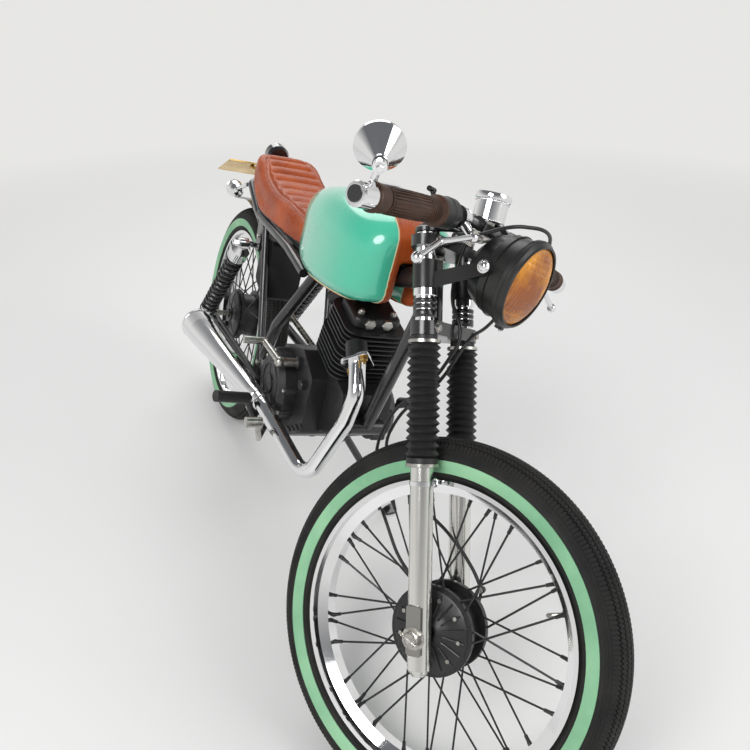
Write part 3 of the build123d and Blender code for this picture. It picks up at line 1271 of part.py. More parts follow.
def side_stand():
    """Leg with a boss on the pivot bolt and a flat foot on the floor."""
    boss = rod(along(STAND_PIVOT, STAND_AXIS, -9), along(STAND_PIVOT, STAND_AXIS, 9), 15)
    leg = rod(STAND_PIVOT, along(STAND_FOOT, FLOOR_UP, 8), STAND_LEG_RADIUS)
    pad = extrude(RectangleRounded(52, 34, 12), 6)
    stand = boss + leg + Plane(origin=STAND_FOOT, x_dir=(1, 0, 0), z_dir=FLOOR_UP) * pad
    return stand - rod(
        along(STAND_PIVOT, STAND_AXIS, -40), along(STAND_PIVOT, STAND_AXIS, 40), STAND_BOLT_RADIUS + BEARING_GAP)


def stand_bracket():
    """Lug under the engine with the bolt that the stand turns on."""
    inner = along(STAND_PIVOT, STAND_AXIS, -9 - SEAT_GAP)
    lug = along(inner, STAND_AXIS, -14)
    root = (STAND_PIVOT[0] + 50, CRANKCASE_HALF_WIDTH - 28, CRANKCASE_BOTTOM)
    bracket = rod(inner, along(STAND_PIVOT, STAND_AXIS, 14), STAND_BOLT_RADIUS) + rod(lug, inner, 15)
    return bracket + rod(along(lug, STAND_AXIS, 5), root, 7) + Pos(*root) * extrude(Circle(16), 5)


def both(piece):
    """The same piece on the right and on the left."""
    return group(*[piece(side) for side in SIDES])


FRAME = {
    "frame_spine": frame_spine,
    "frame_down_tube": down_tube,
    "seat_rails": seat_rails,
    "rear_stays": lambda: both(rear_stay),
    "swingarm": swingarm,
    "rear_shocks": lambda: both(rear_shock),
    "shock_springs": lambda: both(shock_spring),
    "shock_hangers": shock_hangers,
    "crankcase": crankcase,
    "cylinder": cylinder,
    "cylinder_head": cylinder_head,
    "engine_covers": engine_covers,
    "carburettor": carburettor,
    "foot_controls": lambda: group(kick_starter(), gear_lever(), brake_pedal()),
    "footpegs": lambda: both(footpeg),
    "exhaust_pipe": exhaust_pipe,
    "muffler": muffler,
    "muffler_hanger": muffler_hanger,
    "drive_chain": chain,
    "fuel_tank": fuel_tank,
    "tank_leather": tank_leather,
    "seat": seat,
    "tail_lamp": tail_lamp,
    "number_plate": number_plate,
    "indicators": lambda: both(indicator),
    "battery_box": battery_box,
    "rear_mudguard": rear_mudguard,
    "rear_brake_plate": lambda: brake_plate(REAR_AXLE, -1, REAR_CAM_ANGLE, REAR_ARM_ANGLE),
    "brake_rod": brake_rod,
    "rear_axle": lambda: axle(REAR_AXLE, SWINGARM_SPREAD + SWINGARM_RADIUS),
    "stand_bracket": stand_bracket,
}
STEERING = {
    "fork_clamps": fork_clamps,
    "fork_tubes": lambda: both(fork_tube),
    "fork_gaiters": lambda: both(fork_gaiter),
    "fork_lowers": lambda: both(fork_lower),
    "front_brake_plate": front_brake_plate,
    "control_cables": control_cables,
    "front_axle": lambda: axle(FRONT_AXLE, FORK_SPACING / 2 + FORK_LOWER_RADIUS),
    "headlight_shell": headlight_housing,
    "headlight_lens": headlight_lens,
    "speedometer": speedometer,
    "handlebar": handlebar,
    "grips": lambda: both(grip),
    "bar_controls": lambda: both(control_housing),
    "levers": lambda: both(lever),
    "mirror": mirror,
    "bar_end": lambda: bar_end_clamp(1),
}
FRONT_WHEEL = {
    "front_tyre": lambda: tyre(FRONT_AXLE),
    "front_whitewalls": lambda: whitewalls(FRONT_AXLE),
    "front_rim": lambda: rim(FRONT_AXLE),
    "front_hub": lambda: hub_and_spokes(FRONT_AXLE),
}
REAR_WHEEL = {
    "rear_tyre": lambda: tyre(REAR_AXLE),
    "rear_whitewalls": lambda: whitewalls(REAR_AXLE),
    "rear_rim": lambda: rim(REAR_AXLE),
    "rear_hub": rear_hub,
}
SIDE_STAND = {"side_stand": side_stand}
BODIES = {
    "frame": (FRAME, ON_FLOOR),
    "steering": (STEERING, ON_FLOOR * STEERED),
    "front_wheel": (FRONT_WHEEL, ON_FLOOR * STEERED),
    "rear_wheel": (REAR_WHEEL, ON_FLOOR),
    "side_stand": (SIDE_STAND, ON_FLOOR),
}


def assembled():
    """Every node in its place on the floor, with the origin under the middle of the machine."""
    nodes = {}
    for pieces, place in BODIES.values():
        for name, build in pieces.items():
            nodes[name] = place * build()
    box = Compound(children=[copy.copy(node) for node in nodes.values()]).bounding_box()
    centre = Pos(-(box.min.X + box.max.X) / 2, -(box.min.Y + box.max.Y) / 2, 0)
    return {name: centre * node for name, node in nodes.items()}, centre


def main():
    os.makedirs("parts", exist_ok=True)
    nodes, centre = assembled()
    for name, node in nodes.items():
        export_step(node, f"parts/{name}.step")


if __name__ == "__main__":
    main()
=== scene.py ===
import bmesh
import bpy
import json
import math
from mathutils import Matrix, Vector
from mathutils.bvhtree import BVHTree


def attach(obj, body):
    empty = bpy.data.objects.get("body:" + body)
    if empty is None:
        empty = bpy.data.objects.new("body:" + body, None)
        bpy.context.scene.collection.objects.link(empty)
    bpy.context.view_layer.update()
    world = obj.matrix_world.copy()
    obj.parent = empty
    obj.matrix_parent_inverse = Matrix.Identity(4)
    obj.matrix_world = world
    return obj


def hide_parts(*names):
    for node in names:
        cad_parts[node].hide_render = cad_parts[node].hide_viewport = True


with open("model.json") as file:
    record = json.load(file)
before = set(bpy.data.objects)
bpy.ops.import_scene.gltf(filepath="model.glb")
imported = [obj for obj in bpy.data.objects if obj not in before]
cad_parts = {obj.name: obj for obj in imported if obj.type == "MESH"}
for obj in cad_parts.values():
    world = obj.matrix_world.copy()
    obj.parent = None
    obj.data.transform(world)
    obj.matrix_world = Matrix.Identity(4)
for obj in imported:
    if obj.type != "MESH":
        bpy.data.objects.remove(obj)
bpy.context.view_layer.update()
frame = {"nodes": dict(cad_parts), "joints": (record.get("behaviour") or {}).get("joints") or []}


# Frame tubes
# Round steel tubes welded at the steering head and the swingarm pivot. They are stove enamelled in
# gloss black, with the brake dust and polish of a used machine. Bolts and nuts are bright steel.

TYRE_RADIUS = 309.0
STEER_LOCK = 31.0                          # the steering rests this far to the left, degrees
MILLIMETRES = Matrix.Scale(0.001, 4)
AHEAD = Vector((1, 0, 0))
LEFT = Vector((0, 1, 0))
UP = Vector((0, 0, 1))
SIDES = (-1, 1)                            # right, left

joints = {joint["name"]: joint for joint in frame["joints"]}
axle_line = Vector(joints["rear_wheel"]["axis"]).normalized()
forward = Vector((-axle_line.z, 0.0, axle_line.x)).normalized()
leaning = Matrix((forward, axle_line, forward.cross(axle_line))).transposed().to_4x4()
leaning.translation = (
    Vector(joints["rear_wheel"]["pos_m"]) - leaning.to_3x3() @ Vector((0, 0, TYRE_RADIUS / 1000)))
stem = Matrix.Translation(joints["steering"]["pos_m"])
lock = Matrix.Rotation(math.radians(STEER_LOCK), 4, Vector(joints["steering"]["axis"]))
steered = stem @ lock @ stem.inverted() @ leaning
PLACES = {
    "frame": leaning @ MILLIMETRES,
    "rear_wheel": leaning @ MILLIMETRES,
    "side_stand": leaning @ MILLIMETRES,
    "steering": steered @ MILLIMETRES,
    "front_wheel": steered @ MILLIMETRES,
}


class Signal:
    """An output of a node, on which shader maths is written as plain Python."""

    def __init__(self, finish, socket):
        self.finish = finish
        self.socket = socket

    def maths(self, operation, *values):
        return self.finish.node("ShaderNodeMath", {"operation": operation}, values)

    def __add__(self, other):
        return self.maths("ADD", self, other)

    def __mul__(self, other):
        return self.maths("MULTIPLY", self, other)

    __radd__ = __add__
    __rmul__ = __mul__


class Nodes:
    """A node tree, and the one way to add a node to it."""

    def __init__(self, tree):
        self.tree = tree

    def plug(self, socket, value):
        if isinstance(value, Signal):
            self.tree.links.new(value.socket, socket)
        else:
            socket.default_value = value

    def node(self, kind, settings=None, inputs=(), output=0):
        made = self.tree.nodes.new(kind)
        for key, value in (settings or {}).items():
            setattr(made, key, value)
        pairs = inputs.items() if isinstance(inputs, dict) else enumerate(inputs)
        for key, value in pairs:
            self.plug(made.inputs[key], value)
        return Signal(self, made.outputs[output])

    def mix(self, factor, dark, light):
        """A colour between two others."""
        return self.node("ShaderNodeMix", {"data_type": "RGBA"}, {
            0: factor, 6: dark if isinstance(dark, Signal) else (*dark, 1.0),
            7: light if isinstance(light, Signal) else (*light, 1.0)}, output=2)

    def ramp(self, value, low, high):
        """A value stretched so that low becomes 0 and high becomes 1."""
        return self.node("ShaderNodeMapRange", {"clamp": True}, {
            "Value": value, "From Min": low, "From Max": high})


class Finish(Nodes):
    """A material with one Principled shader."""

    def __init__(self, name, slot, color, roughness, metallic=0.0, **sockets):
        self.slot = slot
        self.material = bpy.data.materials.new(name)
        self.material.use_nodes = True
        super().__init__(self.material.node_tree)
        self.shader = self.tree.nodes["Principled BSDF"]
        self.place = Signal(self, self.tree.nodes.new("ShaderNodeTexCoord").outputs["Object"])
        self.set("Base Color", (*color, 1.0))
        self.set("Roughness", roughness)
        self.set("Metallic", metallic)
        for socket, value in sockets.items():
            self.set(socket.replace("_", " ").title(), value)

    def set(self, socket, value):
        self.plug(self.shader.inputs[socket.replace("Ior", "IOR")], value)

    def noise(self, scale, detail=3.0):
        return self.node("ShaderNodeTexNoise", {}, {
            "Vector": self.place, "Scale": scale, "Detail": detail})

    def bump(self, height, distance, strength=1.0):
        self.set("Normal", self.node("ShaderNodeBump", {}, {
            "Height": height, "Distance": distance, "Strength": strength}))

    def mottle(self, dark, light, scale, low=0.35, high=0.65):
        """A colour that drifts between two shades."""
        self.set("Base Color", self.mix(self.ramp(self.noise(scale, 4.0), low, high), dark, light))

    def uneven(self, low, high, scale=18.0):
        """Roughness that wanders between two values, as handled metal and paint do."""
        wander = self.ramp(self.noise(scale, 5.0), 0.3, 0.7)
        self.set("Roughness", wander * (high - low) + low)


def wear(finish, *nodes):
    """Gives CAD nodes their finish."""
    for name in nodes:
        data = frame["nodes"][name].data
        data.materials.clear()
        data.materials.append(finish.material)


def square_to(axis):
    """Two directions square to an axis and to each other."""
    axis = Vector(axis).normalized()
    first = (UP if abs(axis.z) < 0.9 else AHEAD).cross(axis).normalized()
    return first, axis.cross(first)


def circle(centre, first, second, radius, steps):
    """Points evenly round a circle in the plane of two directions."""
    return [centre + first * (radius * math.cos(math.tau * step / steps))
            + second * (radius * math.sin(math.tau * step / steps)) for step in range(steps)]


def new_object(name, data):
    made = bpy.data.objects.new(name, data)
    bpy.context.scene.collection.objects.link(made)
    return made


class Forming:
    """The faces of one piece, gathered in millimetres of the upright machine."""

    def __init__(self):
        self.points = []
        self.faces = []

    def add(self, points, faces):
        first = len(self.points)
        self.points += [tuple(point) for point in points]
        self.faces += [[first + corner for corner in face] for face in faces]

    def skin(self, rings, closed=False):
        """Faces between rings of as many points each, with a lid on both ends of an open run."""
        count = len(rings[0])
        points = [point for ring in rings for point in ring]
        faces = []
        for row in range(len(rings) if closed else len(rings) - 1):
            here, there = row * count, (row + 1) % len(rings) * count
            for step in range(count):
                after = (step + 1) % count
                faces.append([here + step, here + after, there + after, there + step])
        if not closed:
            faces.append(list(range(count))[::-1])
            faces.append([(len(rings) - 1) * count + step for step in range(count)])
        self.add(points, faces)

    def turned(self, profile, centre, axis, steps=32, hollow=False):
        """Pairs of radius and height turned round an axis; a hollow one closes on itself."""
        centre, axis = Vector(centre), Vector(axis).normalized()
        first, second = square_to(axis)
        self.skin([circle(centre + axis * height, first, second, max(radius, 0.01), steps)
                   for radius, height in profile], closed=hollow)

    def band(self, inner, outer, low, high, ease, centre, axis, steps=40):
        """A hollow ring whose outer corners are eased."""
        self.turned([(inner, low), (outer, low + ease), (outer, high - ease), (inner, high)],
                    centre, axis, steps, True)

    def rod(self, start, end, radius, steps=20):
        run = Vector(end) - Vector(start)
        ease = min(radius * 0.2, run.length * 0.3)
        self.turned([(radius - ease, 0), (radius, ease), (radius, run.length - ease),
                     (radius - ease, run.length)], start, run, steps)

    def tube(self, path, radius, steps=12, closed=False):
        """A round wire along a path; its radius may be one number or one for each point."""
        path = [Vector(point) for point in path]
        count = len(path)
        side = None
        rings = []
        for number, point in enumerate(path):
            before = path[number - 1] if number or closed else point
            after = path[(number + 1) % count] if number < count - 1 or closed else point
            run = (after - before).normalized()
            side = square_to(run)[0] if side is None else (side - run * side.dot(run)).normalized()
            other = run.cross(side)
            size = radius[number] if isinstance(radius, (list, tuple)) else radius
            rings.append(circle(point, side, other, size, steps))
        self.skin(rings, closed)

    def plate(self, outline, origin, across, along, depth, ease=0.8):
        """A flat outline raised square to its plane, with eased edges on the outside."""
        across, along = Vector(across).normalized(), Vector(along).normalized()
        out = across.cross(along)
        middle = sum((Vector((*corner, 0)) for corner in outline), Vector()) / len(outline)
        rings = []
        for height, inset in ((0, 0), (depth - ease, 0), (depth, ease)):
            ring = []
            for corner in outline:
                arm = Vector((*corner, 0)) - middle
                spot = middle + arm * (1 - inset / max(arm.length, 1))
                ring.append(Vector(origin) + across * spot.x + along * spot.y + out * height)
            rings.append(ring)
        self.skin(rings)

    def bolt(self, seat, out, across=13.0, height=6.0, washer=True):
        """A hexagon head on its washer, sunk a little into what it holds."""
        if washer:
            self.turned([(across * 0.3, -0.6), (across * 0.68, -0.6), (across * 0.7, 0.9),
                         (across * 0.3, 1.2)], seat, out, 24)
        wide = across / math.sqrt(3)
        self.turned([(wide, 0.4), (wide, height - 1), (wide * 0.84, height), (0, height)],
                    seat, out, 6)

    def acorn(self, seat, out, across=14.0):
        """A domed nut."""
        wide = across / math.sqrt(3)
        self.turned([(wide, -0.4), (wide, across * 0.45), (wide * 0.86, across * 0.52),
                     (wide * 0.84, across * 0.56), (0, across * 0.58)], seat, out, 6)
        dome = [(across * 0.41 * math.cos(rise), across * (0.55 + 0.38 * math.sin(rise)))
                for rise in (0, 0.35, 0.7, 1.05, 1.35, 1.57)]
        self.turned(dome, seat, out, 24)

    def screw(self, seat, out, radius=4.0, height=3.0):
        """A domed screw with a cross cut in its head."""
        self.turned([(radius, -0.6), (radius, height * 0.35), (radius * 0.8, height * 0.75),
                     (radius * 0.4, height * 0.95), (0, height)], seat, out, 20)
        top = Vector(seat) + Vector(out).normalized() * (height * 0.55)
        for direction in square_to(out):
            reach = direction * radius * 0.72
            self.rod(top - reach, top + reach, radius * 0.17, 6)

    def piece(self, name, body, finish, sharp=35.0):
        """The gathered faces as one object that rides on a body."""
        mesh = bpy.data.meshes.new(name)
        mesh.from_pydata(self.points, [], self.faces)
        mesh.transform(PLACES[body])
        form = bmesh.new()
        form.from_mesh(mesh)
        bmesh.ops.recalc_face_normals(form, faces=form.faces)
        for face in form.faces:
            face.smooth = True
        for edge in form.edges:
            if len(edge.link_faces) == 2 and edge.calc_face_angle() > math.radians(sharp):
                edge.smooth = False
        form.to_mesh(mesh)
        form.free()
        mesh.materials.append(finish.material)
        made = new_object(name, mesh)
        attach(made, body)
        return made


RAKE = math.radians(30.0)
STEER_UP = Vector((-math.sin(RAKE), 0, math.cos(RAKE)))
STEER_AHEAD = Vector((math.cos(RAKE), 0, math.sin(RAKE)))
FRONT_AXLE = Vector((1265.0, 0, TYRE_RADIUS))
FORK_OFFSET = 32.0
STEER_FOOT = FRONT_AXLE - STEER_AHEAD * FORK_OFFSET
RAIL_SPREAD = 86.0
PIVOT = Vector((505.0, 0, 345.0))


def steer_point(height, ahead=0.0, left=0.0):
    return STEER_FOOT + STEER_UP * height + STEER_AHEAD * ahead + LEFT * left


black_enamel = Finish(
    "black_enamel", "frame_black", (0.012, 0.012, 0.013), 0.3, coat_weight=0.6, coat_roughness=0.12)
black_enamel.uneven(0.24, 0.42)
wear(black_enamel, "frame_spine", "frame_down_tube", "seat_rails", "rear_stays", "swingarm",
     "shock_hangers", "stand_bracket", "side_stand", "muffler_hanger", "fork_clamps", "handlebar",
     "rear_mudguard")

bright_steel = Finish("bright_steel", "steel", (0.52, 0.51, 0.48), 0.3, 1.0)
bright_steel.uneven(0.2, 0.4, 40.0)
bright_steel.mottle((0.4, 0.38, 0.34), (0.58, 0.57, 0.55), 90.0)
wear(bright_steel, "front_axle", "rear_axle", "foot_controls", "brake_rod")

PLATE_BOLTS = ((46.0, -44.0), (-42.0, 52.0), (-64.0, 26.0))    # from the pivot, x and z
PLATE_FACE = 87.0                          # outside of the pivot plates
PIVOT_END = 119.0                          # end of the swingarm's pin
ENGINE_MOUNT = (874.0, 34.0, 452.0)
SHOCK_MOUNT = (274.0, RAIL_SPREAD + 4.0, 630.0)
HEAD_RACES = (493.3, 602.4)                # heights of the two bearing cups up the steering head
frame_bolts = Forming()
for side in SIDES:
    for x, z in PLATE_BOLTS:
        frame_bolts.bolt(PIVOT + Vector((x, side * PLATE_FACE, z)), LEFT * side, 12)
    for (x, y, z), wide, height in ((ENGINE_MOUNT, 14, 6), (SHOCK_MOUNT, 10, 5)):
        frame_bolts.bolt((x, side * y, z), LEFT * side, wide, height)
frame_bolts.acorn(PIVOT + LEFT * PIVOT_END, LEFT, 22)
frame_bolts.piece("frame_bolts", "frame", bright_steel)

head_races = Forming()
for start in HEAD_RACES:
    head_races.turned([(24, 0), (27, 0.6), (28, 2), (28, 6), (27, 7.4), (24, 8)],
                      steer_point(start), STEER_UP, 40)
head_races.piece("head_races", "frame", bright_steel)


# Engine
# Sand-cast and die-cast aluminium cases with the cylinder's cooling fins cast on, all painted satin
# black. The rough casting skin shows through the paint, and the side covers are held by a ring of
# screws in round bosses.

engine_black = Finish("engine_black", "engine_black", (0.014, 0.014, 0.015), 0.42)
engine_black.uneven(0.3, 0.52, 30.0)
engine_black.bump(engine_black.noise(900.0, 2.0), 0.0002, 0.35)
wear(engine_black, "crankcase", "cylinder", "cylinder_head", "engine_covers", "carburettor",
     "rear_brake_plate", "front_brake_plate")

CASE_FACE = 88.0
COVER_RIBS = 5
CASE_RIBS = 5
COVERS = (
    # side, x and z of the middle, radius, depth, number of bosses
    (-1, 640.0, 418.0, 74.0, 36.0, 8),
    (1, 705.0, 398.0, 66.0, 38.0, 6),
)


def wheel_ray(turn):
    """A direction in the plane of the wheels, turned up from straight ahead."""
    return Vector((math.cos(turn), 0, math.sin(turn)))


def oblong(length, width):
    """The corners of a flat bar, from half its length and half its width."""
    return [(-length, -width), (length, -width), (length, width), (-length, width)]


cover_trim = Forming()
cover_screws = Forming()
for side, x, z, radius, depth, count in COVERS:
    face = Vector((x, side * CASE_FACE, z))
    out = LEFT * side
    for number in range(count):
        spot = face + wheel_ray(math.tau * (number + 0.35) / count) * (radius - 2.0)
        cover_trim.turned([(8.4, -1), (8.4, depth * 0.68), (7.4, depth * 0.74), (0, depth * 0.74)],
                          spot, out, 24)
        cover_screws.bolt(spot + out * (depth * 0.74), out, 8, 5, washer=False)
    flat = depth + 0.2
    cover_trim.turned([(radius * 0.68, flat - 1.5), (radius * 0.66, flat + 2.2),
                       (radius * 0.6, flat + 2.2), (radius * 0.58, flat - 1.5)],
                      face, out, 64, True)
    cover_trim.turned([(radius * 0.3, flat - 2), (radius * 0.29, flat + 3.5),
                       (radius * 0.25, flat + 4.2), (0, flat + 4.2)], face, out, 40)
    for number in range(COVER_RIBS):
        ray = wheel_ray(math.tau * (number + 0.5) / COVER_RIBS)
        cover_trim.tube([face + ray * (radius * share) + out * (flat - 0.4)
                         for share in (0.31, 0.45, 0.6)], 2.0, 8)

# ribs down the right side of the engine block, its oil filler, drain plug and breather boss
for number in range(CASE_RIBS):
    foot = Vector((694.0, -CASE_FACE + 0.4, 336.0)) + Vector((20.0, 0, 14.0)) * number
    cover_trim.plate(oblong(9, 1.6), foot, AHEAD, UP, 2.6, 0.6)
cover_trim.turned([(11, -1), (11, 9), (9.5, 11), (0, 11)], (742.0, -CASE_FACE, 470.0), -LEFT, 12)
cover_trim.bolt((640.0, 0.0, 296.6), -UP, 17, 7)
cover_trim.turned([(13, 0), (13, 7), (11, 8), (0, 8)], (694.0, -CASE_FACE, 496.0), -LEFT, 28)
cover_trim.piece("cover_bosses", "frame", engine_black)
cover_screws.piece("cover_screws", "frame", bright_steel)

CYLINDER_LEAN = math.radians(12.0)
CYLINDER_UP = Vector((math.sin(CYLINDER_LEAN), 0, math.cos(CYLINDER_LEAN)))
CYLINDER_AHEAD = Vector((math.cos(CYLINDER_LEAN), 0, -math.sin(CYLINDER_LEAN)))
CYLINDER_BASE = Vector((750.0, 0, 532.0))


def on_cylinder(height, ahead, left):
    return CYLINDER_BASE + CYLINDER_UP * height + CYLINDER_AHEAD * ahead + LEFT * left


ROCKER_TOP = 136.0
head_trim = Forming()
for ahead in (-1, 1):
    for side in SIDES:
        head_trim.acorn(on_cylinder(ROCKER_TOP - 0.4, ahead * 26.0, side * 34.0), CYLINDER_UP, 12)
        seat = on_cylinder(ROCKER_TOP - 11, ahead * 43.5, side * 18.0)
        head_trim.turned([(12, -2), (12, 4), (10, 5.5), (0, 5.5)], seat, CYLINDER_AHEAD * ahead, 6)
head_trim.piece("head_nuts", "frame", bright_steel)


# Exhaust
# One chromed steel header bolted to the port by a diamond flange and two brass nuts, clamped into a
# cone-shaped muffler. Chrome is polished to a mirror with faint wiping marks.

chrome = Finish("chrome", "chrome", (0.84, 0.84, 0.85), 0.06, 1.0)
chrome.uneven(0.035, 0.12, 12.0)
wear(chrome, "muffler", "front_rim", "rear_rim", "mirror", "levers", "speedometer", "rear_shocks",
     "indicators", "fork_tubes", "bar_end", "exhaust_pipe")

brass = Finish("brass_fittings", "brass", (0.72, 0.52, 0.2), 0.3, 1.0)
brass.uneven(0.2, 0.4, 20.0)
brass.mottle((0.55, 0.36, 0.12), (0.78, 0.58, 0.24), 12.0)
wear(brass, "number_plate")

EXHAUST_PORT = Vector((862.0, -47.0, 588.0))
EXHAUST_OUT = Vector((0.81, -0.12, -0.57)).normalized()
flange_side = (LEFT - EXHAUST_OUT * LEFT.dot(EXHAUST_OUT)).normalized()
flange_up = EXHAUST_OUT.cross(flange_side)
port_nuts = Forming()
for way in (-1, 1):
    stud = EXHAUST_PORT + flange_up * (30.0 * way) + EXHAUST_OUT * 8.3
    port_nuts.bolt(stud, EXHAUST_OUT, 12, 8)
    port_nuts.rod(stud, stud + EXHAUST_OUT * 14, 3.2, 12)
port_nuts.piece("exhaust_port_nuts", "frame", brass)
port_flange = Forming()
diamond = []
# the flange's four corners: place of each rounding's centre, its radius and its middle in degrees
for x, y, bend, middle in ((17.5, 0, 15.0, 0), (0, 31.0, 9.5, 90), (-17.5, 0, 15.0, 180),
                           (0, -31.0, 9.5, 270)):
    for step in range(-3, 4):
        turn = math.radians(middle + step * 11)
        diamond.append((x + bend * math.cos(turn), y + bend * math.sin(turn)))
port_flange.plate(diamond, EXHAUST_PORT + EXHAUST_OUT * 3.4, flange_side, flange_up, 5.2, 0.8)
port_flange.piece("exhaust_flange", "frame", chrome)

MUFFLER_FRONT = Vector((655.0, -148.0, 388.0))
MUFFLER_REAR = Vector((205.0, -187.0, 355.0))
BAFFLE_RIVETS = 18
muffler_run = (MUFFLER_REAR - MUFFLER_FRONT).normalized()
muffler_length = (MUFFLER_REAR - MUFFLER_FRONT).length
exhaust_trim = Forming()
exhaust_trim.turned([(16.2, -21), (18.2, -20), (18.8, -10), (18.8, -3), (20.4, -1), (20.4, 12),
                     (19.4, 13), (16.2, -2)], MUFFLER_FRONT, muffler_run, 48, True)
ear = MUFFLER_FRONT + muffler_run * 5 + Vector((0.05, -0.3, -0.95)).normalized() * 23
exhaust_trim.plate(oblong(7, 5), ear - LEFT * 4, AHEAD, UP, 8)
exhaust_trim.turned([(38.6, muffler_length - 6), (40.3, muffler_length - 5.4),
                     (40.6, muffler_length - 3), (40.2, muffler_length + 0.4),
                     (37.2, muffler_length + 0.6), (36.4, muffler_length - 2)],
                    MUFFLER_FRONT, muffler_run, 64, True)
exhaust_trim.piece("muffler_trim", "frame", chrome)


def rays(axis, count, start=0.0):
    """Directions spread evenly round an axis."""
    first, second = square_to(axis)
    turns = [math.tau * (number + start) / count for number in range(count)]
    return [first * math.cos(turn) + second * math.sin(turn) for turn in turns]


soot_black = Finish("soot_black", "engine_black", (0.02, 0.018, 0.016), 0.8)
soot_black.uneven(0.7, 0.9, 60.0)
baffle = Forming()
baffle.turned([(36.2, muffler_length - 46), (36.2, muffler_length - 42), (24, muffler_length - 40),
               (22, muffler_length - 20), (20, muffler_length - 20), (20, muffler_length - 60),
               (22, muffler_length - 62)], MUFFLER_FRONT, muffler_run, 48, True)
for ray in rays(muffler_run, BAFFLE_RIVETS):
    spot = MUFFLER_FRONT + muffler_run * (muffler_length - 41) + ray * 30
    baffle.turned([(2.2, 0), (1.6, 1.4), (0, 1.5)], spot, muffler_run, 10)
baffle.piece("muffler_baffle", "frame", soot_black)


# Drive chain
# Roller chain of pressed link plates and pins in oiled steel, from a toothed sprocket by the engine
# to a large one on the rear wheel.

chain_steel = Finish("chain_steel", "steel", (0.34, 0.32, 0.28), 0.36, 1.0)
chain_steel.uneven(0.28, 0.5, 70.0)
chain_steel.mottle((0.12, 0.1, 0.08), (0.4, 0.38, 0.34), 60.0)
FRONT_SPROCKET = Vector((575.0, 60.0, 364.0))
FRONT_ROLL = 38.0                          # radius of the chain line round each sprocket
REAR_ROLL = 90.8
CHAIN_LINKS = 122
LINK_THICKNESS = 1.1
# half the outline of a link plate: share of the way to the next pin, and height
LINK_WAIST = ((-0.38, 0), (-0.3, 4.4), (0.0, 5.4), (0.25, 4.6), (0.5, 3.6), (0.75, 4.6), (1.0, 5.4),
              (1.3, 4.4), (1.38, 0))
wheel_sprocket = Vector((0, FRONT_SPROCKET.y, TYRE_RADIUS))


def chain_path(count):
    """Even points round the two sprockets."""
    run = FRONT_SPROCKET - wheel_sprocket
    tilt = math.atan2(run.z, run.x)
    open_up = math.acos((REAR_ROLL - FRONT_ROLL) / run.length)
    straight = math.sqrt(run.length ** 2 - (REAR_ROLL - FRONT_ROLL) ** 2)
    legs = [
        ("arc", wheel_sprocket, REAR_ROLL, tilt + open_up, math.tau - 2 * open_up),
        ("run", None, straight, 0, 0),
        ("arc", FRONT_SPROCKET, FRONT_ROLL, tilt - open_up, 2 * open_up),
        ("run", None, straight, 0, 0),
    ]
    lengths = [leg[2] * leg[4] if leg[0] == "arc" else leg[2] for leg in legs]
    pitch = sum(lengths) / count
    ends = []
    for leg in legs:
        if leg[0] == "arc":
            _, centre, radius, start, sweep = leg
            ends.append([centre + wheel_ray(turn) * radius for turn in (start, start + sweep)])
    points = []
    for number in range(count):
        place = pitch * number
        for index, (leg, length) in enumerate(zip(legs, lengths)):
            if place < length:
                break
            place -= length
        if leg[0] == "arc":
            _, centre, radius, start, sweep = leg
            points.append(centre + wheel_ray(start + sweep * place / length) * radius)
        elif index == 1:
            points.append(ends[0][1].lerp(ends[1][0], place / length))
        else:
            points.append(ends[1][1].lerp(ends[0][0], place / length))
    return points


pins = chain_path(CHAIN_LINKS)
chain = Forming()
for number, pin in enumerate(pins):
    after = pins[(number + 1) % CHAIN_LINKS]
    run = after - pin
    outward = run.cross(LEFT).normalized()
    chain.turned([(4.2, -3.6), (4.2, 3.6)], pin, LEFT, 10)
    chain.turned([(1.9, -6.9), (1.9, 6.9)], pin, LEFT, 8)
    line = 5.0 if number % 2 else 3.9      # every second pair of plates lies outside its neighbours
    outline = [pin + run * share + outward * width for share, width in LINK_WAIST]
    outline += [pin + run * share - outward * width for share, width in LINK_WAIST[-2:0:-1]]
    for side in SIDES:
        chain.skin([[point + LEFT * (side * (line + thick)) for point in outline]
                    for thick in (0.0, LINK_THICKNESS)])
chain.turned([(34.5, -3), (36.5, 0), (34.5, 3), (8, 3), (8, -3)], FRONT_SPROCKET, LEFT, 45, True)
chain_piece = chain.piece("roller_chain", "frame", chain_steel)
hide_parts("drive_chain")

SPROCKET_TEETH = 45
SPROCKET_BOLTS = 6
sprocket = Forming()
outline = []
for tooth in range(SPROCKET_TEETH):
    for share, radius in ((0.0, 84.6), (0.22, 86.2), (0.42, 91.0), (0.58, 91.0), (0.78, 86.2)):
        outline.append(wheel_ray(math.tau * (tooth + share) / SPROCKET_TEETH) * radius)
sprocket.skin([[wheel_sprocket + point * share + LEFT * line for point in outline]
               for share, line in ((1.0, -1.8), (1.0, 1.8), (0.9, 2.2), (0.9, -2.2))], closed=True)
for number in range(SPROCKET_BOLTS):
    spot = wheel_sprocket + wheel_ray(math.tau * number / SPROCKET_BOLTS) * 56 + LEFT * 3.2
    sprocket.bolt(spot, LEFT, 12, 6)
sprocket.piece("sprocket_teeth", "rear_wheel", bright_steel, sharp=25)


# Rear shock absorbers
# A chromed damper in a black sleeve, with a coil spring of black round wire over it, an adjuster
# below and a domed nut on each bolt.

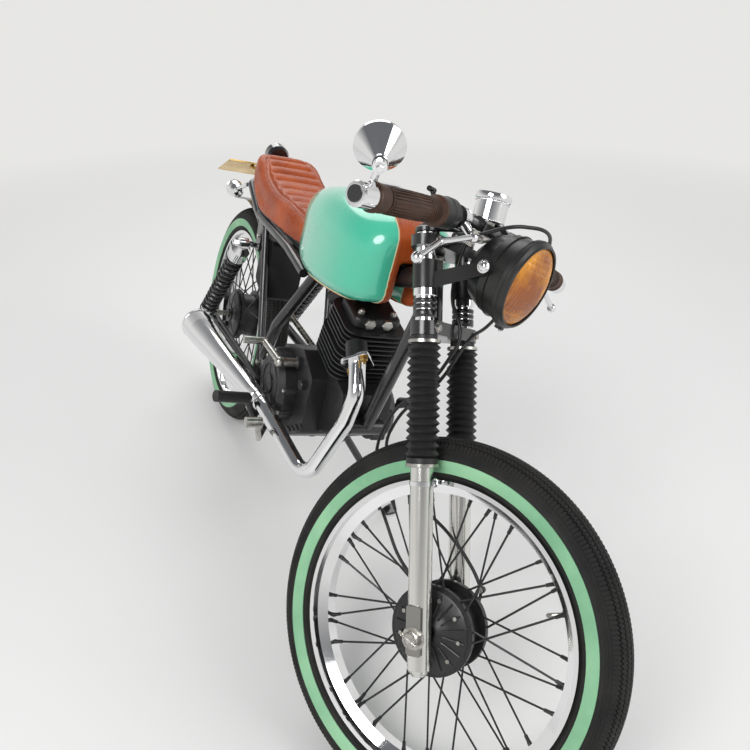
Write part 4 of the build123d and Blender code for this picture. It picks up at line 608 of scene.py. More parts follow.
SHOCK_SPREAD = 124.0
SHOCK_TOP = (274.0, 606.0)
SHOCK_BOTTOM = (34.0, 322.0)
SPRING_COILS = 13
SPRING_WIRE = 3.6
SPRING_RADIUS = 19.2                       # from the damper's axis to the middle of the wire
COIL_STEPS = 26                            # points in one turn of the wire
spring_black = Finish("spring_black", "frame_black", (0.013, 0.013, 0.013), 0.28, coat_weight=0.5)
spring_black.uneven(0.22, 0.36, 50.0)
springs = Forming()
shock_nuts = Forming()
for side in SIDES:
    low = Vector((SHOCK_BOTTOM[0], side * SHOCK_SPREAD, SHOCK_BOTTOM[1]))
    high = Vector((SHOCK_TOP[0], side * SHOCK_SPREAD, SHOCK_TOP[1]))
    axis = (high - low).normalized()
    length = (high - low).length
    first, second = square_to(axis)
    start, end = 26.5, length - 64.5       # the spring's two seats
    steps = SPRING_COILS * COIL_STEPS
    wire = []
    for step in range(steps + 1):
        turn = math.tau * step / COIL_STEPS
        wire.append(low + axis * (start + (end - start) * step / steps)
                    + (first * math.cos(turn) + second * math.sin(turn)) * SPRING_RADIUS)
    springs.tube(wire, SPRING_WIRE, 10)
    springs.band(13.2, 22.6, 22.2, 24.4, 0, low, axis, 36)
    shock_nuts.turned([(13.4, 24.6), (21, 24.6), (21, 30), (19, 33), (13.4, 33)],
                      low, axis, 24, True)
    shock_nuts.turned([(21.5, length - 60.8), (24.4, length - 59), (24.8, length - 55),
                       (24.4, length - 52), (23.4, length - 51)], low, axis, 40, True)
    springs.turned([(13.3, 34), (14.6, 34.6), (14.6, length - 66.6), (13.3, length - 66)],
                   low, axis, 40, True)
    for eye in (low, high):
        shock_nuts.acorn(eye + LEFT * (side * 14.4), LEFT * side, 15)
        shock_nuts.turned([(13.6, 9.6), (13.6, 11.4), (6, 11.6), (6, 9.6)],
                          eye, LEFT * side, 30, True)
spring_piece = springs.piece("shock_coils", "frame", spring_black)
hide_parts("shock_springs")
shock_nuts.piece("shock_fittings", "frame", chrome)


# Wheels
# Chromed rims laced with black spokes to cast drum hubs. Each spoke has a nipple at the rim and a
# bent head in the hub's flange, and a valve comes through the rim.

hub_black = Finish("hub_black", "engine_black", (0.012, 0.012, 0.012), 0.35)
hub_black.uneven(0.28, 0.45, 60.0)
wear(hub_black, "front_hub", "rear_hub")

SPOKE_COUNT = 36
SPOKE_SWEEP = 24.0
RIM_INNER = 217.7                          # inside of the rim's well
HUB_SPOKES = 65.4                          # radius of the spoke holes
HUB_FACE = 31.0                            # from the wheel's middle to the hub's side
REAR_AXLE = Vector((0, 0, TYRE_RADIUS))
WHEELS = (("front", "front_wheel", FRONT_AXLE), ("rear", "rear_wheel", REAR_AXLE))


def wheel_point(centre, radius, angle, width):
    return centre + wheel_ray(math.radians(angle)) * radius + LEFT * width


for name, body, centre in WHEELS:
    nipples = Forming()
    for number in range(SPOKE_COUNT):
        side = 1 if number % 2 else -1
        lead = 1 if (number // 2) % 2 else -1
        angle = 360.0 * number / SPOKE_COUNT
        start = wheel_point(centre, HUB_SPOKES, angle, side * (26.0 + lead * 2.2))
        end = wheel_point(centre, RIM_INNER - 0.9, angle + lead * SPOKE_SWEEP,
                          side * (4.0 + lead * 2.0))
        run = (end - start).normalized()
        nipples.turned([(1.7, -15), (2.9, -14.4), (3.1, -5), (3.6, -3.4), (3.8, 1.2), (2.0, 1.4)],
                       end, run, 10)
        nipples.turned([(2.6, -2.6), (3.4, -1.4), (3.4, 0.2), (2.4, 1.6), (0, 2.0)],
                       wheel_point(centre, HUB_SPOKES + 1.6, angle - lead * 1.5, side * 30.6),
                       LEFT * side, 12)
    nipples.piece(f"{name}_spoke_nipples", body, hub_black)
    valve = Forming()
    stem_foot = wheel_point(centre, RIM_INNER + 2.0, 44.0, 0.0)
    inward = (centre - stem_foot).normalized()
    valve.turned([(5.5, 0), (5.5, 4), (3.0, 5), (3.0, 20), (3.6, 21), (3.6, 31), (2.6, 33),
                  (0, 33)], stem_foot, inward, 16)
    valve.turned([(6.6, 2.4), (6.6, 6.0), (3.2, 6.4)], stem_foot, inward, 6)
    valve.piece(f"{name}_valve", body, bright_steel)

# cover, cooling ribs and screws of the front drum, on the right side, away from the brake
DRUM_RIBS = 18
DRUM_SCREWS = 9
drum_face = FRONT_AXLE - LEFT * HUB_FACE
drum = Forming()
drum.turned([(66, -0.6), (66, 1.4), (63, 3.0), (40, 4.6), (24, 8.0), (18, 12.0), (13, 12.4),
             (13, -0.6)], drum_face, -LEFT, 72, True)
for number in range(DRUM_RIBS):
    ray = wheel_ray(math.tau * number / DRUM_RIBS)
    drum.tube([drum_face + ray * radius - LEFT * rise
               for radius, rise in ((26, 7.6), (44, 5.0), (62, 3.4))], 1.8, 8)
drum.turned([(71.6, -9.0), (72.6, -8.2), (72.6, -0.8), (71.6, 0.2), (66, 0.4), (66, -9.2)],
            drum_face, -LEFT, 72, True)
drum.piece("front_drum_ribs", "front_wheel", hub_black)
drum_screws = Forming()
for number in range(DRUM_SCREWS):
    spot = drum_face + wheel_ray(math.tau * (number + 0.5) / DRUM_SCREWS) * 53 - LEFT * 3.6
    drum_screws.bolt(spot, -LEFT, 7, 4, washer=False)
drum_screws.piece("front_drum_screws", "front_wheel", bright_steel)

# the fixed brake plates: ribs, collar, the cam's clamp bolt and the pin at the arm's end
BRAKE_PLATES = (
    # name, body, centre, side, cam angle, arm angle
    ("front", "steering", FRONT_AXLE, 1, 42.0, 108.0),
    ("rear", "frame", REAR_AXLE, -1, 250.0, 275.0),
)
for name, body, centre, side, cam_angle, arm_angle in BRAKE_PLATES:
    out = LEFT * side
    ribs = Forming()
    for number in range(8):
        turn = cam_angle + 360.0 * (number + 0.5) / 8
        ribs.tube([wheel_point(centre, radius, turn, side * (HUB_FACE + 1.5 + rise))
                   for radius, rise in ((20, 11.6), (46, 11.6), (63, 6.6))], 1.9, 8)
    ribs.turned([(20, 12), (19.6, 15.5), (17, 16.5), (14.2, 16.5), (14.2, 12)],
                centre + out * 31.5, out, 32, True)
    ribs.piece(f"{name}_brake_ribs", body, engine_black)
    fitting = Forming()
    cam = wheel_point(centre, 42.0, cam_angle, side * 51.5)
    fitting.bolt(cam, out, 11, 6)
    tip = wheel_point(cam, 50.0, arm_angle, -side * 3.5)
    fitting.turned([(4.6, -9), (4.6, 9), (3.8, 10), (0, 10)], tip, LEFT, 16)
    fitting.piece(f"{name}_brake_fitting", body, bright_steel)


# Tyres
# Black road rubber. Zigzag grooves run round the crown, fine notches cross the shoulders, and rings
# are moulded in the sidewall above and below the mint green band.

tyre_rubber = Finish("tyre_rubber", "tyre_black", (0.012, 0.012, 0.012), 0.72,
                     specular_ior_level=0.35)
tyre_rubber.uneven(0.6, 0.8, 25.0)
tyre_rubber.mottle((0.008, 0.008, 0.008), (0.018, 0.017, 0.015), 14.0)

mint_band = Finish("mint_band", "whitewall_mint", (0.25, 0.53, 0.31), 0.5)
mint_band.uneven(0.42, 0.6, 25.0)
mint_band.mottle((0.19, 0.44, 0.25), (0.31, 0.60, 0.35), 9.0)
wear(mint_band, "front_whitewalls", "rear_whitewalls")

TREAD_STEPS = 1080
TYRE_MIDDLE = 269.0                        # from the axle to the middle of the section
TYRE_SECTION = 39.9
LAND, SIPED, GROOVE, WALL, BAND = range(5)
TYRE_COLUMNS = (
    # degrees from the crown, kind, depth in mm, zigzag in degrees
    (0.0, LAND, 0.0, 0.0), (6.9, LAND, 0.0, 0.0), (7.4, GROOVE, 2.4, 0.0), (9.4, GROOVE, 2.4, 0.0),
    (9.9, SIPED, 0.0, 0.0), (16.0, SIPED, 0.0, 0.0), (21.6, SIPED, 0.0, 1.4),
    (22.2, GROOVE, 2.6, 1.4), (24.6, GROOVE, 2.6, 1.4), (25.2, SIPED, 0.0, 1.4),
    (31.0, SIPED, 0.0, 0.0), (36.6, SIPED, 0.0, 2.0), (37.3, GROOVE, 2.6, 2.0),
    (40.3, GROOVE, 2.6, 2.0), (41.0, SIPED, 0.0, 2.0), (46.5, SIPED, 0.0, 0.0),
    (52.0, SIPED, 0.0, 0.0), (58.0, SIPED, 0.0, 0.0), (59.2, WALL, 1.3, 0.0),
    (64.0, WALL, 1.3, 0.0), (64.6, WALL, 0.6, 0.0), (66.0, WALL, 0.6, 0.0), (66.6, WALL, 1.3, 0.0),
    (70.4, WALL, 1.2, 0.0), (71.0, WALL, 0.5, 0.0), (72.4, WALL, 0.5, 0.0), (73.0, WALL, 1.1, 0.0),
    (79.0, WALL, 0.6, 0.0), (83.6, WALL, 0.1, 0.0), (84.7, BAND, 3.7, 0.0), (99.0, BAND, 3.7, 0.0),
    (113.0, BAND, 3.7, 0.0), (114.3, WALL, 0.1, 0.0), (121.0, WALL, 0.6, 0.0),
    (122.0, WALL, 0.1, 0.0), (124.0, WALL, 0.1, 0.0), (125.0, WALL, 0.8, 0.0),
    (133.0, WALL, 0.8, 0.0), (140.2, WALL, 0.4, 0.0),
)
SIPE_DEPTH = 1.2
across_tyre = [(-angle, *rest, 2) for angle, *rest in TYRE_COLUMNS[:0:-1]]
across_tyre += [(*column, 0) for column in TYRE_COLUMNS]
for name, body, centre in WHEELS:
    rings = []
    for step in range(TREAD_STEPS):
        ray = wheel_ray(math.tau * step / TREAD_STEPS)
        ring = []
        for angle, kind, depth, zigzag, shift in across_tyre:
            phase = (step + shift) % 4
            if kind == SIPED and phase == 0:
                depth = SIPE_DEPTH
            bent = math.radians(angle + (zigzag if phase in (1, 2) else -zigzag))
            section = TYRE_SECTION - depth
            ring.append(centre + ray * (TYRE_MIDDLE + section * math.cos(bent))
                        + LEFT * (section * math.sin(bent)))
        rings.append(ring)
    tyre = Forming()
    tyre.skin(rings, closed=True)
    tyre_piece = tyre.piece(f"{name}_tyre_tread", body, tyre_rubber, sharp=40)
    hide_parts(f"{name}_tyre")


# Front fork
# Chromed tubes slide in polished aluminium lower legs, with rubber gaiters clipped over the joint.
# The legs have a machined flat where the axle goes through, held by a castle nut and a split pin.

polished_aluminium = Finish("polished_aluminium", "aluminium", (0.74, 0.73, 0.70), 0.2, 1.0)
polished_aluminium.uneven(0.14, 0.22, 9.0)
wear(polished_aluminium, "fork_lowers")
machined_aluminium = Finish("machined_aluminium", "aluminium", (0.30, 0.29, 0.27), 0.38, 1.0)
machined_aluminium.uneven(0.32, 0.46, 60.0)

black_rubber = Finish("black_rubber", "rubber_black", (0.014, 0.014, 0.014), 0.5)
black_rubber.uneven(0.4, 0.58, 40.0)
wear(black_rubber, "fork_gaiters", "footpegs")

FORK_SPACING = 136.0                       # from one leg's axis to the other's
LEG_TOP = 640.0
FRONT_AXLE_END = 86.4
REAR_AXLE_END = 113.6
GAITER_ENDS = (265.0, 460.0)               # heights of the bands that hold the gaiters
AXLE_FLAT = ((-13, -24), (-10, -27), (10, -27), (13, -24), (13, 47), (10, 50), (-10, 50), (-13, 47))


def leg_point(height, side, ahead=0.0, out=0.0):
    return steer_point(height, FORK_OFFSET + ahead, side * (FORK_SPACING / 2 + out))


def castle_nut(form, seat, out, across):
    """Nut with six slots and the split pin through two of them."""
    wide = across / math.sqrt(3)
    form.turned([(wide * 1.3, -0.4), (wide * 1.34, 1.6), (wide * 0.8, 2.2)], seat, out, 32)
    form.turned([(wide, 1.6), (wide, 10.0), (wide * 0.86, 11.2), (0, 11.2)], seat, out, 6)
    for ray in rays(out, 6, 0.5):
        form.plate(oblong(3.4, 2.0), seat + out * 10.8 + ray * (across * 0.36),
                   ray.cross(out), ray, 4.6, 0.7)
    form.rod(seat, seat + out * 14.6, across * 0.25, 20)
    pin = seat + out * 13.2
    first, second = square_to(out)
    form.tube([pin - first * 15, pin - first * 12 + out, pin + first * 12,
               pin + first * 14.5 - out * 3 + second * 2.5], 1.1, 8)
    form.tube([pin - first * reach + second * rise for reach, rise in
               ((12, 0.8), (15.5, 2.4), (17.5, 0), (15.5, -2.4), (12, -0.8))], 1.0, 8)


leg_trim = Forming()
leg_steel = Forming()
for side in SIDES:
    outward = LEFT * side
    leg_trim.plate(AXLE_FLAT, leg_point(0, side) + outward * 12.0, STEER_AHEAD * -side, STEER_UP,
                   8.2, 1.2)
    leg_trim.turned([(11, -60.2), (11, -57), (8, -57), (8, -60.8)],
                    leg_point(0, side), STEER_UP, 28, True)
    leg_steel.bolt(leg_point(-58.0, side), -STEER_UP, 12, 4, washer=False)
    leg_steel.screw(leg_point(-36.0, side, out=side * 17.6), outward, 4.5, 3)
    for height in GAITER_ENDS:
        leg_steel.band(25.0, 26.3, -3, 3, 0.6, leg_point(height, side), STEER_UP, 48)
    for height in (481.0, 621.0):
        leg_steel.bolt(leg_point(height, side, 23.2), STEER_AHEAD, 11, 6)
leg_trim.piece("fork_leg_flats", "steering", machined_aluminium)
castle_nut(leg_steel, FRONT_AXLE - LEFT * FRONT_AXLE_END, -LEFT, 25.0)
leg_steel.bolt(FRONT_AXLE + LEFT * FRONT_AXLE_END, LEFT, 25, 14.6)
for height in (14.0, 34.0):
    leg_steel.bolt(leg_point(height, 1, -18.2), -STEER_AHEAD, 9, 5)
leg_steel.piece("fork_bolts", "steering", bright_steel)
rear_nuts = Forming()
castle_nut(rear_nuts, REAR_AXLE + LEFT * REAR_AXLE_END, LEFT, 25.0)
rear_nuts.bolt(REAR_AXLE - LEFT * REAR_AXLE_END, -LEFT, 25, 14.6)
for side in SIDES:
    block = REAR_AXLE + Vector((-34, side * 101.0, 0))
    rear_nuts.rod(block, block - AHEAD * 16, 3.5, 12)
    rear_nuts.bolt(block + AHEAD * 4, -AHEAD, 10, 6)
rear_nuts.piece("rear_axle_nuts", "frame", bright_steel)

fork_chrome = Forming()
fork_black = Forming()
for side in SIDES:
    fork_black.turned([(15.7, LEG_TOP - 6), (17.6, LEG_TOP - 4), (17.6, LEG_TOP + 2),
                       (15.5, LEG_TOP + 4), (0, LEG_TOP + 4)], leg_point(0, side), STEER_UP, 36)
    fork_black.bolt(leg_point(LEG_TOP + 3.6, side), STEER_UP, 18, 6, washer=False)
    for start, end in ((498.0, 510.0), (512.0, 519.0), (521.0, 528.0)):
        fork_black.turned([(15.4, start), (18.2, start), (18.9, start + 1.2), (18.9, end - 1.2),
                           (18.2, end), (15.4, end)], leg_point(0, side), STEER_UP, 40, True)
    fork_chrome.turned([(15.6, 532), (18.4, 532), (19.2, 533), (19.2, 544), (18.4, 545),
                        (15.6, 545)], leg_point(0, side), STEER_UP, 40, True)
fork_black.piece("fork_tube_caps", "steering", black_enamel)
fork_chrome.turned([(18.4, 629.6), (18.4, 636), (17.2, 643), (0, 643)],
                   steer_point(0), STEER_UP, 36)
fork_chrome.acorn(steer_point(642.6), STEER_UP, 24)

# the eye on the right leg that guides the cable, on its clip
clip = leg_point(236.0, -1)
fork_chrome.band(18.2, 19.8, -4, 4, 0.6, clip, STEER_UP)
eye = clip + STEER_AHEAD * 8 + LEFT * 26
fork_chrome.tube(circle(eye, STEER_UP, STEER_AHEAD, 6.5, 20), 1.8, 8, closed=True)
fork_chrome.tube([clip + LEFT * 18.6 + STEER_AHEAD * 4, eye - LEFT * 1.5 - STEER_UP * 6.6], 2.4, 8)
fork_chrome.bolt(clip + LEFT * 12 + STEER_AHEAD * 15.6, STEER_AHEAD * 0.8 + LEFT * 0.6, 8, 5)
fork_chrome.piece("fork_caps", "steering", chrome)


# Handlebar, grips and levers
# A low black bar with brown ribbed rubber grips, black switch housings and chromed levers with ball
# ends. The brake cable's adjuster and the clamp screws are bright steel.

satin_black = Finish("satin_black", "black_plastic", (0.012, 0.012, 0.012), 0.35)
satin_black.uneven(0.28, 0.42, 40.0)
wear(satin_black, "bar_controls", "battery_box", "control_cables")

grip_rubber = Finish("grip_rubber", "grip_brown", (0.06, 0.022, 0.009), 0.5)
grip_rubber.uneven(0.4, 0.56, 50.0)
grip_rubber.mottle((0.045, 0.016, 0.006), (0.075, 0.029, 0.011), 40.0)
grip_rubber.bump(grip_rubber.noise(500.0, 2.0), 0.0003, 0.4)
wear(grip_rubber, "grips")

BAR_MIDDLE = Vector((1015.0, 0, 903.0))
BAR_BEND = 130.0
BAR_DROP = math.radians(7.5)
BAR_END = 235.7                            # from the bend to the end of the grip
GRIP_RIBS = 24
GRIP_MIDDLE = 119.0


def bar_axis(side):
    return Vector((0, side * math.cos(BAR_DROP), -math.sin(BAR_DROP)))


def bar_point(side, distance):
    return BAR_MIDDLE + LEFT * (side * BAR_BEND) + bar_axis(side) * distance


def grip_swell(start, power=1.0):
    """How much the grip is thicker at its middle than at its ends."""
    return 1.2 * (1 - abs(start - GRIP_MIDDLE) / 70) ** power


grip_ribs = Forming()
bar_steel = Forming()
bar_black = Forming()
bar_chrome = Forming()
for side in SIDES:
    axis = bar_axis(side)
    root = bar_point(side, 0)
    first, second = square_to(axis)
    grip_ribs.turned([(15.5, 184), (18.9, 184.5), (18.9, 199.0), (20.2, 200.0), (20.2, 204.6),
                      (19.0, 205.4), (15.5, 205.4)], root, axis, 56, True)
    for start in (60, 64.6, 69.2, 73.8, 78.4, 83.0, 178.0, 183.0):
        wide = 17.6 + grip_swell(start)
        grip_ribs.band(wide - 1.6, wide + 0.7, start - 1.5, start + 1.5, 0.7, root, axis, 48)
    for ray in rays(axis, GRIP_RIBS):
        grip_ribs.tube([root + axis * start + ray * (17.4 + grip_swell(start, 0.5))
                        for start in (88, 104, 119, 134, 150, 174)], 0.9, 6)
    bar_black.band(22.6, 23.7, 26, 30, 0.6, root, axis, 48)
    for degrees, along in ((200.0, 19), (250.0, 38)):
        turn = math.radians(degrees)
        ray = first * math.cos(turn) + second * math.sin(turn)
        bar_steel.screw(root + axis * along + ray * 22.6, ray, 3.2, 2.2)
    # the push button on its raised block, turned to the rider
    thumb = Vector((-0.92, 0, 0.38)).normalized()
    button = root + axis * 24
    bar_black.plate(oblong(9, 6), button + thumb * 22.0, axis * side, thumb.cross(axis * side),
                    5, 1.5)
    bar_steel.turned([(3.4, 0), (3.4, 5), (2.6, 6), (0, 6)], button + thumb * 26.0, thumb, 16)
    # lever clamp screws, the cable's adjuster and its lock ring
    perch = BAR_MIDDLE + LEFT * (side * 112.0)
    for way in (-1, 1):
        spot = perch + Vector((-14, 0, way * 12.5))
        bar_black.turned([(5.6, -9), (5.6, 9), (4.6, 10), (0, 10)], spot, AHEAD, 16)
        bar_steel.bolt(spot - AHEAD * 9, -AHEAD, 8, 4, washer=False)
    mouth = Vector((1058.0, side * 112.0, 886.0))
    inner = Vector((0.1, -side * 0.96, 0.25)).normalized()
    bar_steel.turned([(4.0, 0), (4.0, 8), (6.6, 8.5), (6.6, 14), (5.2, 14.6), (5.2, 22), (3.6, 23),
                      (3.4, 28)], mouth, inner, 18)
    for way in (-1, 1):
        bar_steel.bolt(Vector((1058.0, side * 124.0, 886.0 + way * 7.6)), UP * way, 11, 5)
        for reach in (-1, 1):
            spot = BAR_MIDDLE + LEFT * (side * 42.0 + way * 6.0) + AHEAD * (reach * 14)
            bar_steel.bolt(spot + UP * 11, UP, 8, 5, washer=False)
            bar_black.turned([(5.4, -10), (5.4, 11), (0, 11)], spot, UP, 14)
    # the end of the bar: a plug with a socket
    end = bar_point(side, BAR_END)
    bar_chrome.turned([(15.2, -1.0), (15.2, 1.6), (13.6, 2.8), (7.2, 2.8), (6.6, 1.4), (6.6, -1)],
                      end, axis, 40, True)
    bar_black.turned([(6.7, -1), (6.7, 2.5), (0, 2.5)], end, axis, 20)
grip_ribs.piece("grip_ribs", "steering", grip_rubber)
bar_black.piece("switch_details", "steering", satin_black)
bar_steel.piece("bar_screws", "steering", bright_steel)


# Mirror
# A round chromed shell with a cone behind it and the glass facing the rider, on a ball joint.

MIRROR_CENTRE = Vector((1005.0, -348.0, 936.0))
MIRROR_BACK = Vector((0.69, -0.57, -0.44)).normalized()
bar_chrome.turned([(30.6, 2.4), (32.6, 2.8), (33.2, 1.4), (33.2, -2.6), (32.6, -3.6), (31.2, -4.0),
                   (30.6, -2.8)], MIRROR_CENTRE, MIRROR_BACK, 72, True)
bar_chrome.band(9.6, 10.6, 38, 44, 1.4, MIRROR_CENTRE, MIRROR_BACK, 36)
bar_chrome.bolt(MIRROR_CENTRE + MIRROR_BACK * 53.5, MIRROR_BACK, 10, 5)
bar_chrome.piece("bar_and_mirror_trim", "steering", chrome)
silvering = Finish("silvered_glass", "chrome", (0.9, 0.92, 0.93), 0.015, 1.0, coat_weight=1.0)
silvering.uneven(0.01, 0.03, 8.0)
glass = Forming()
glass.turned([(31.0, -1.6), (30.8, -3.2), (20, -3.6), (0, -3.8)], MIRROR_CENTRE, MIRROR_BACK, 72)
glass.piece("mirror_glass", "steering", silvering)


# Headlight
# A satin black steel bowl with a clamped ring and an amber pressed-glass lens, whose ribs and
# prisms spread the light. It hangs between two ears on chromed bolts.

headlight_black = Finish("headlight_black", "engine_black", (0.016, 0.016, 0.015), 0.34)
headlight_black.uneven(0.28, 0.4, 25.0)
wear(headlight_black, "headlight_shell")

LIGHT_CENTRE = Vector((1121.0, 0, 855.0))
LENS_RADIUS = 66.0
LENS_CROWN = 12.0
shell_trim = Forming()
shell_trim.band(73.6, 75.0, -12.6, -9.0, 0.6, LIGHT_CENTRE, AHEAD, 96)
shell_trim.turned([(66.0, 0.1), (67.4, 1.0), (69.4, 0.6), (70.2, -1.4), (68, -2.4)],
                  LIGHT_CENTRE, AHEAD, 96, True)
shell_trim.band(67.6, 69.6, -42, -40, 0.4, LIGHT_CENTRE, AHEAD, 96)
shell_trim.plate(oblong(7, 4), LIGHT_CENTRE + Vector((-14, 0, -73)), AHEAD, -LEFT, 6, 1)
shell_trim.piece("headlight_ring", "steering", headlight_black)
light_screws = Forming()
for side in SIDES:
    bolt = LIGHT_CENTRE + Vector((-48.0, side * 79.6, 0))
    out = LEFT * side
    light_screws.turned([(5, -0.4), (10.4, -0.4), (10.4, 1.4), (9, 2.4), (5, 2.6)], bolt, out, 32)
    light_screws.screw(bolt + out * 2.0, out, 7.5, 5)
light_screws.screw(LIGHT_CENTRE + Vector((-10, 0, -79.4)), -UP, 3.4, 2.4)
light_screws.piece("headlight_bolts", "steering", chrome)

amber_glass = Finish("amber_glass", "amber_glass", (0.85, 0.32, 0.01), 0.14, coat_weight=0.4)
amber_glass.uneven(0.1, 0.2, 40.0)
amber_glass.mottle((0.34, 0.085, 0.002), (0.90, 0.36, 0.01), 15.0, 0.36, 0.6)
lens = Forming()
LENS_RINGS = 44
LENS_STEPS = 160
LENS_BACK = -9.4
BELT = 24.0                                # half height of the close upright ribs in the middle


def lens_height(y, z):
    """How far the pressed glass stands out in front of its rim."""
    share = math.hypot(y, z) / LENS_RADIUS
    height = LENS_CROWN * (1 - share ** 2.2) - 3.6 * share ** 6
    if share < 0.93:
        flute = abs(math.sin(math.pi * y / (6.5 if abs(z) < BELT else 9.5)))
        prism = abs(math.sin(math.pi * z / 9.0)) if abs(z) > BELT else 1.0
        height -= 2.0 * (1 - flute) ** 1.3 + 1.4 * (1 - prism) ** 1.6
    return height


rings = []
for number in range(LENS_RINGS + 1):
    radius = max(LENS_RADIUS * number / LENS_RINGS, 0.05)
    rings.append([LIGHT_CENTRE + spot + AHEAD * lens_height(spot.y, spot.z)
                  for spot in circle(Vector(), LEFT, UP, radius, LENS_STEPS)])
rings.append(circle(LIGHT_CENTRE + AHEAD * LENS_BACK, LEFT, UP, LENS_RADIUS, LENS_STEPS))
lens.skin(rings)
lens_piece = lens.piece("ribbed_lens", "steering", amber_glass, sharp=60)
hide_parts("headlight_lens")


# Speedometer
# A small chromed cup with a beaded bezel, tipped towards the rider. Its glossy white dial has plain
# black marks and a needle.

SPEEDO_FOOT = Vector((1002.0, 0, 914.0))
SPEEDO_UP = Vector((-0.25, 0, 0.968)).normalized()
BEZEL_BEADS = 56
DIAL_MARKS = 25
DIAL_SWEEP = 280.0                         # degrees from the first mark to the last
NEEDLE_TURN = -2.4                         # at rest, in radians from the dial's middle mark
speedo = Forming()
speedo.turned([(27.4, 36.5), (29.6, 37.4), (30.2, 39.5), (30.2, 46), (29.4, 47.8), (27.0, 48.4),
               (25.8, 46.6)], SPEEDO_FOOT, SPEEDO_UP, 72, True)
for height in (35.2, 4.0):
    for ray in rays(SPEEDO_UP, BEZEL_BEADS):
        speedo.turned([(1.3, -0.6), (1.1, 0.7), (0, 1.1)],
                      SPEEDO_FOOT + SPEEDO_UP * height + ray * 27.2, ray, 8)
speedo.piece("speedometer_bezel", "steering", chrome)
dial_white = Finish("dial_white", "lamp_plastic", (0.75, 0.73, 0.66), 0.4, coat_weight=1.0)
dial_white.uneven(0.35, 0.45, 60.0)
dial = Forming()
dial.turned([(26.2, 45.6), (26.2, 46.3), (0, 46.3)], SPEEDO_FOOT, SPEEDO_UP, 48)
dial.piece("speedometer_dial", "steering", dial_white)
marks = Forming()
dial_side, dial_top = square_to(SPEEDO_UP)
for number in range(DIAL_MARKS):
    turn = math.radians(DIAL_SWEEP * (number / (DIAL_MARKS - 1) - 0.5))
    ray = dial_side * math.sin(turn) + dial_top * math.cos(turn)
    long = 5.5 if number % 4 == 0 else 3.0
    spot = SPEEDO_FOOT + SPEEDO_UP * 46.2 + ray * (24 - long / 2)
    marks.plate(oblong(long / 2, 0.4), spot, ray, SPEEDO_UP.cross(ray), 0.3, 0)
ray = dial_side * math.sin(NEEDLE_TURN) + dial_top * math.cos(NEEDLE_TURN)
marks.plate([(-5, -0.9), (18, -0.2), (18, 0.2), (-5, 0.9)], SPEEDO_FOOT + SPEEDO_UP * 46.6, ray,
            SPEEDO_UP.cross(ray), 0.5, 0)
marks.turned([(2.4, 46.2), (2.2, 47.6), (0, 48)], SPEEDO_FOOT, SPEEDO_UP, 20)
marks.piece("speedometer_marks", "steering", satin_black)


# Fuel tank
# Pressed steel, painted mint green under clear lacquer, with a chromed filler cap on top. A thin
# cord runs along the joint where the leather begins; its pale colour is a painted highlight, the
# light caught on that edge.

mint_paint = Finish(
    "mint_paint", "mint_paint", (0.055, 0.52, 0.33), 0.25, coat_weight=1.0, coat_roughness=0.09)
mint_paint.uneven(0.2, 0.32, 6.0)
mint_paint.mottle((0.062, 0.52, 0.335), (0.075, 0.57, 0.37), 5.0)
# the edge of the leather: height and half width up the nose, then x and height along each side
BIB_EDGE = ((692.0, 84.0), (696.0, 66.0), (705.0, 53.0), (729.0, 45.0), (782.0, 40.0),
            (824.0, 40.0), (900.0, 40.0))
TOP_EDGE = ((832.0, 0.0), (833.0, 20.0), (838.0, 32.0), (848.0, 39.0), (860.0, 40.0))
SIDE_EDGE = ((560.0, 671.0), (642.0, 676.5), (700.0, 686.0), (812.0, 698.0), (868.0, 692.0))
NOSE_START = 832.0
NOSE_FOOT = 692.0
CUT_REACH = 6.0                            # how far each cut runs past its two ends
HIDE_THICKNESS = 0.9                       # what the leather adds over the paint
to_upright = PLACES["frame"].inverted()
back_to_upright = leaning.to_3x3().inverted()


def settle(obj, kind, **settings):
    """Adds a modifier and applies it."""
    modifier = obj.modifiers.new(kind.lower(), kind)
    for key, value in settings.items():
        setattr(modifier, key, value)
    graph = bpy.context.evaluated_depsgraph_get()
    made = bpy.data.meshes.new_from_object(obj.evaluated_get(graph))
    obj.modifiers.clear()
    old, obj.data = obj.data, made
    bpy.data.meshes.remove(old)


def skin_of(name, *nodes):
    """A new object with the skins of some nodes."""
    form = bmesh.new()
    for node in nodes:
        form.from_mesh(frame["nodes"][node].data)
    mesh = bpy.data.meshes.new(name)
    form.to_mesh(mesh)
    form.free()
    return new_object(name, mesh)


def table(rows, at):
    """A value read off rows of (place, value), which rise."""
    for (x0, v0), (x1, v1) in zip(rows, rows[1:]):
        if at <= x1:
            return v0 + (v1 - v0) * (at - x0) / (x1 - x0)
    return rows[-1][1]


def is_leather(spot):
    """Whether a point of the tank's skin lies under the leather."""
    width = min(table(BIB_EDGE, spot.z), table(TOP_EDGE, spot.x))
    on_nose = spot.x > NOSE_START and spot.z > NOSE_FOOT and abs(spot.y) < width
    return on_nose or spot.z < table(SIDE_EDGE, spot.x)


tank = skin_of("tank_shell", "fuel_tank", "tank_leather")
settle(tank, "REMESH", mode="VOXEL", voxel_size=0.0035, adaptivity=0.0)
settle(tank, "SMOOTH", factor=0.5, iterations=24)
skin = bmesh.new()
skin.from_mesh(tank.data)
skin.transform(to_upright)


def cut(start, end, through, near):
    """Splits the skin along a straight run of the leather's edge, where near says it passes."""
    faces = [face for face in skin.faces if near(face.calc_center_median())]
    parts = set(faces) | {edge for face in faces for edge in face.edges} | {
        corner for face in faces for corner in face.verts}
    bmesh.ops.bisect_plane(skin, geom=list(parts), dist=0.02, plane_co=start,
                           plane_no=(Vector(end) - Vector(start)).cross(through).normalized())


def beside(at, low, high):
    return low - CUT_REACH < at < high + CUT_REACH


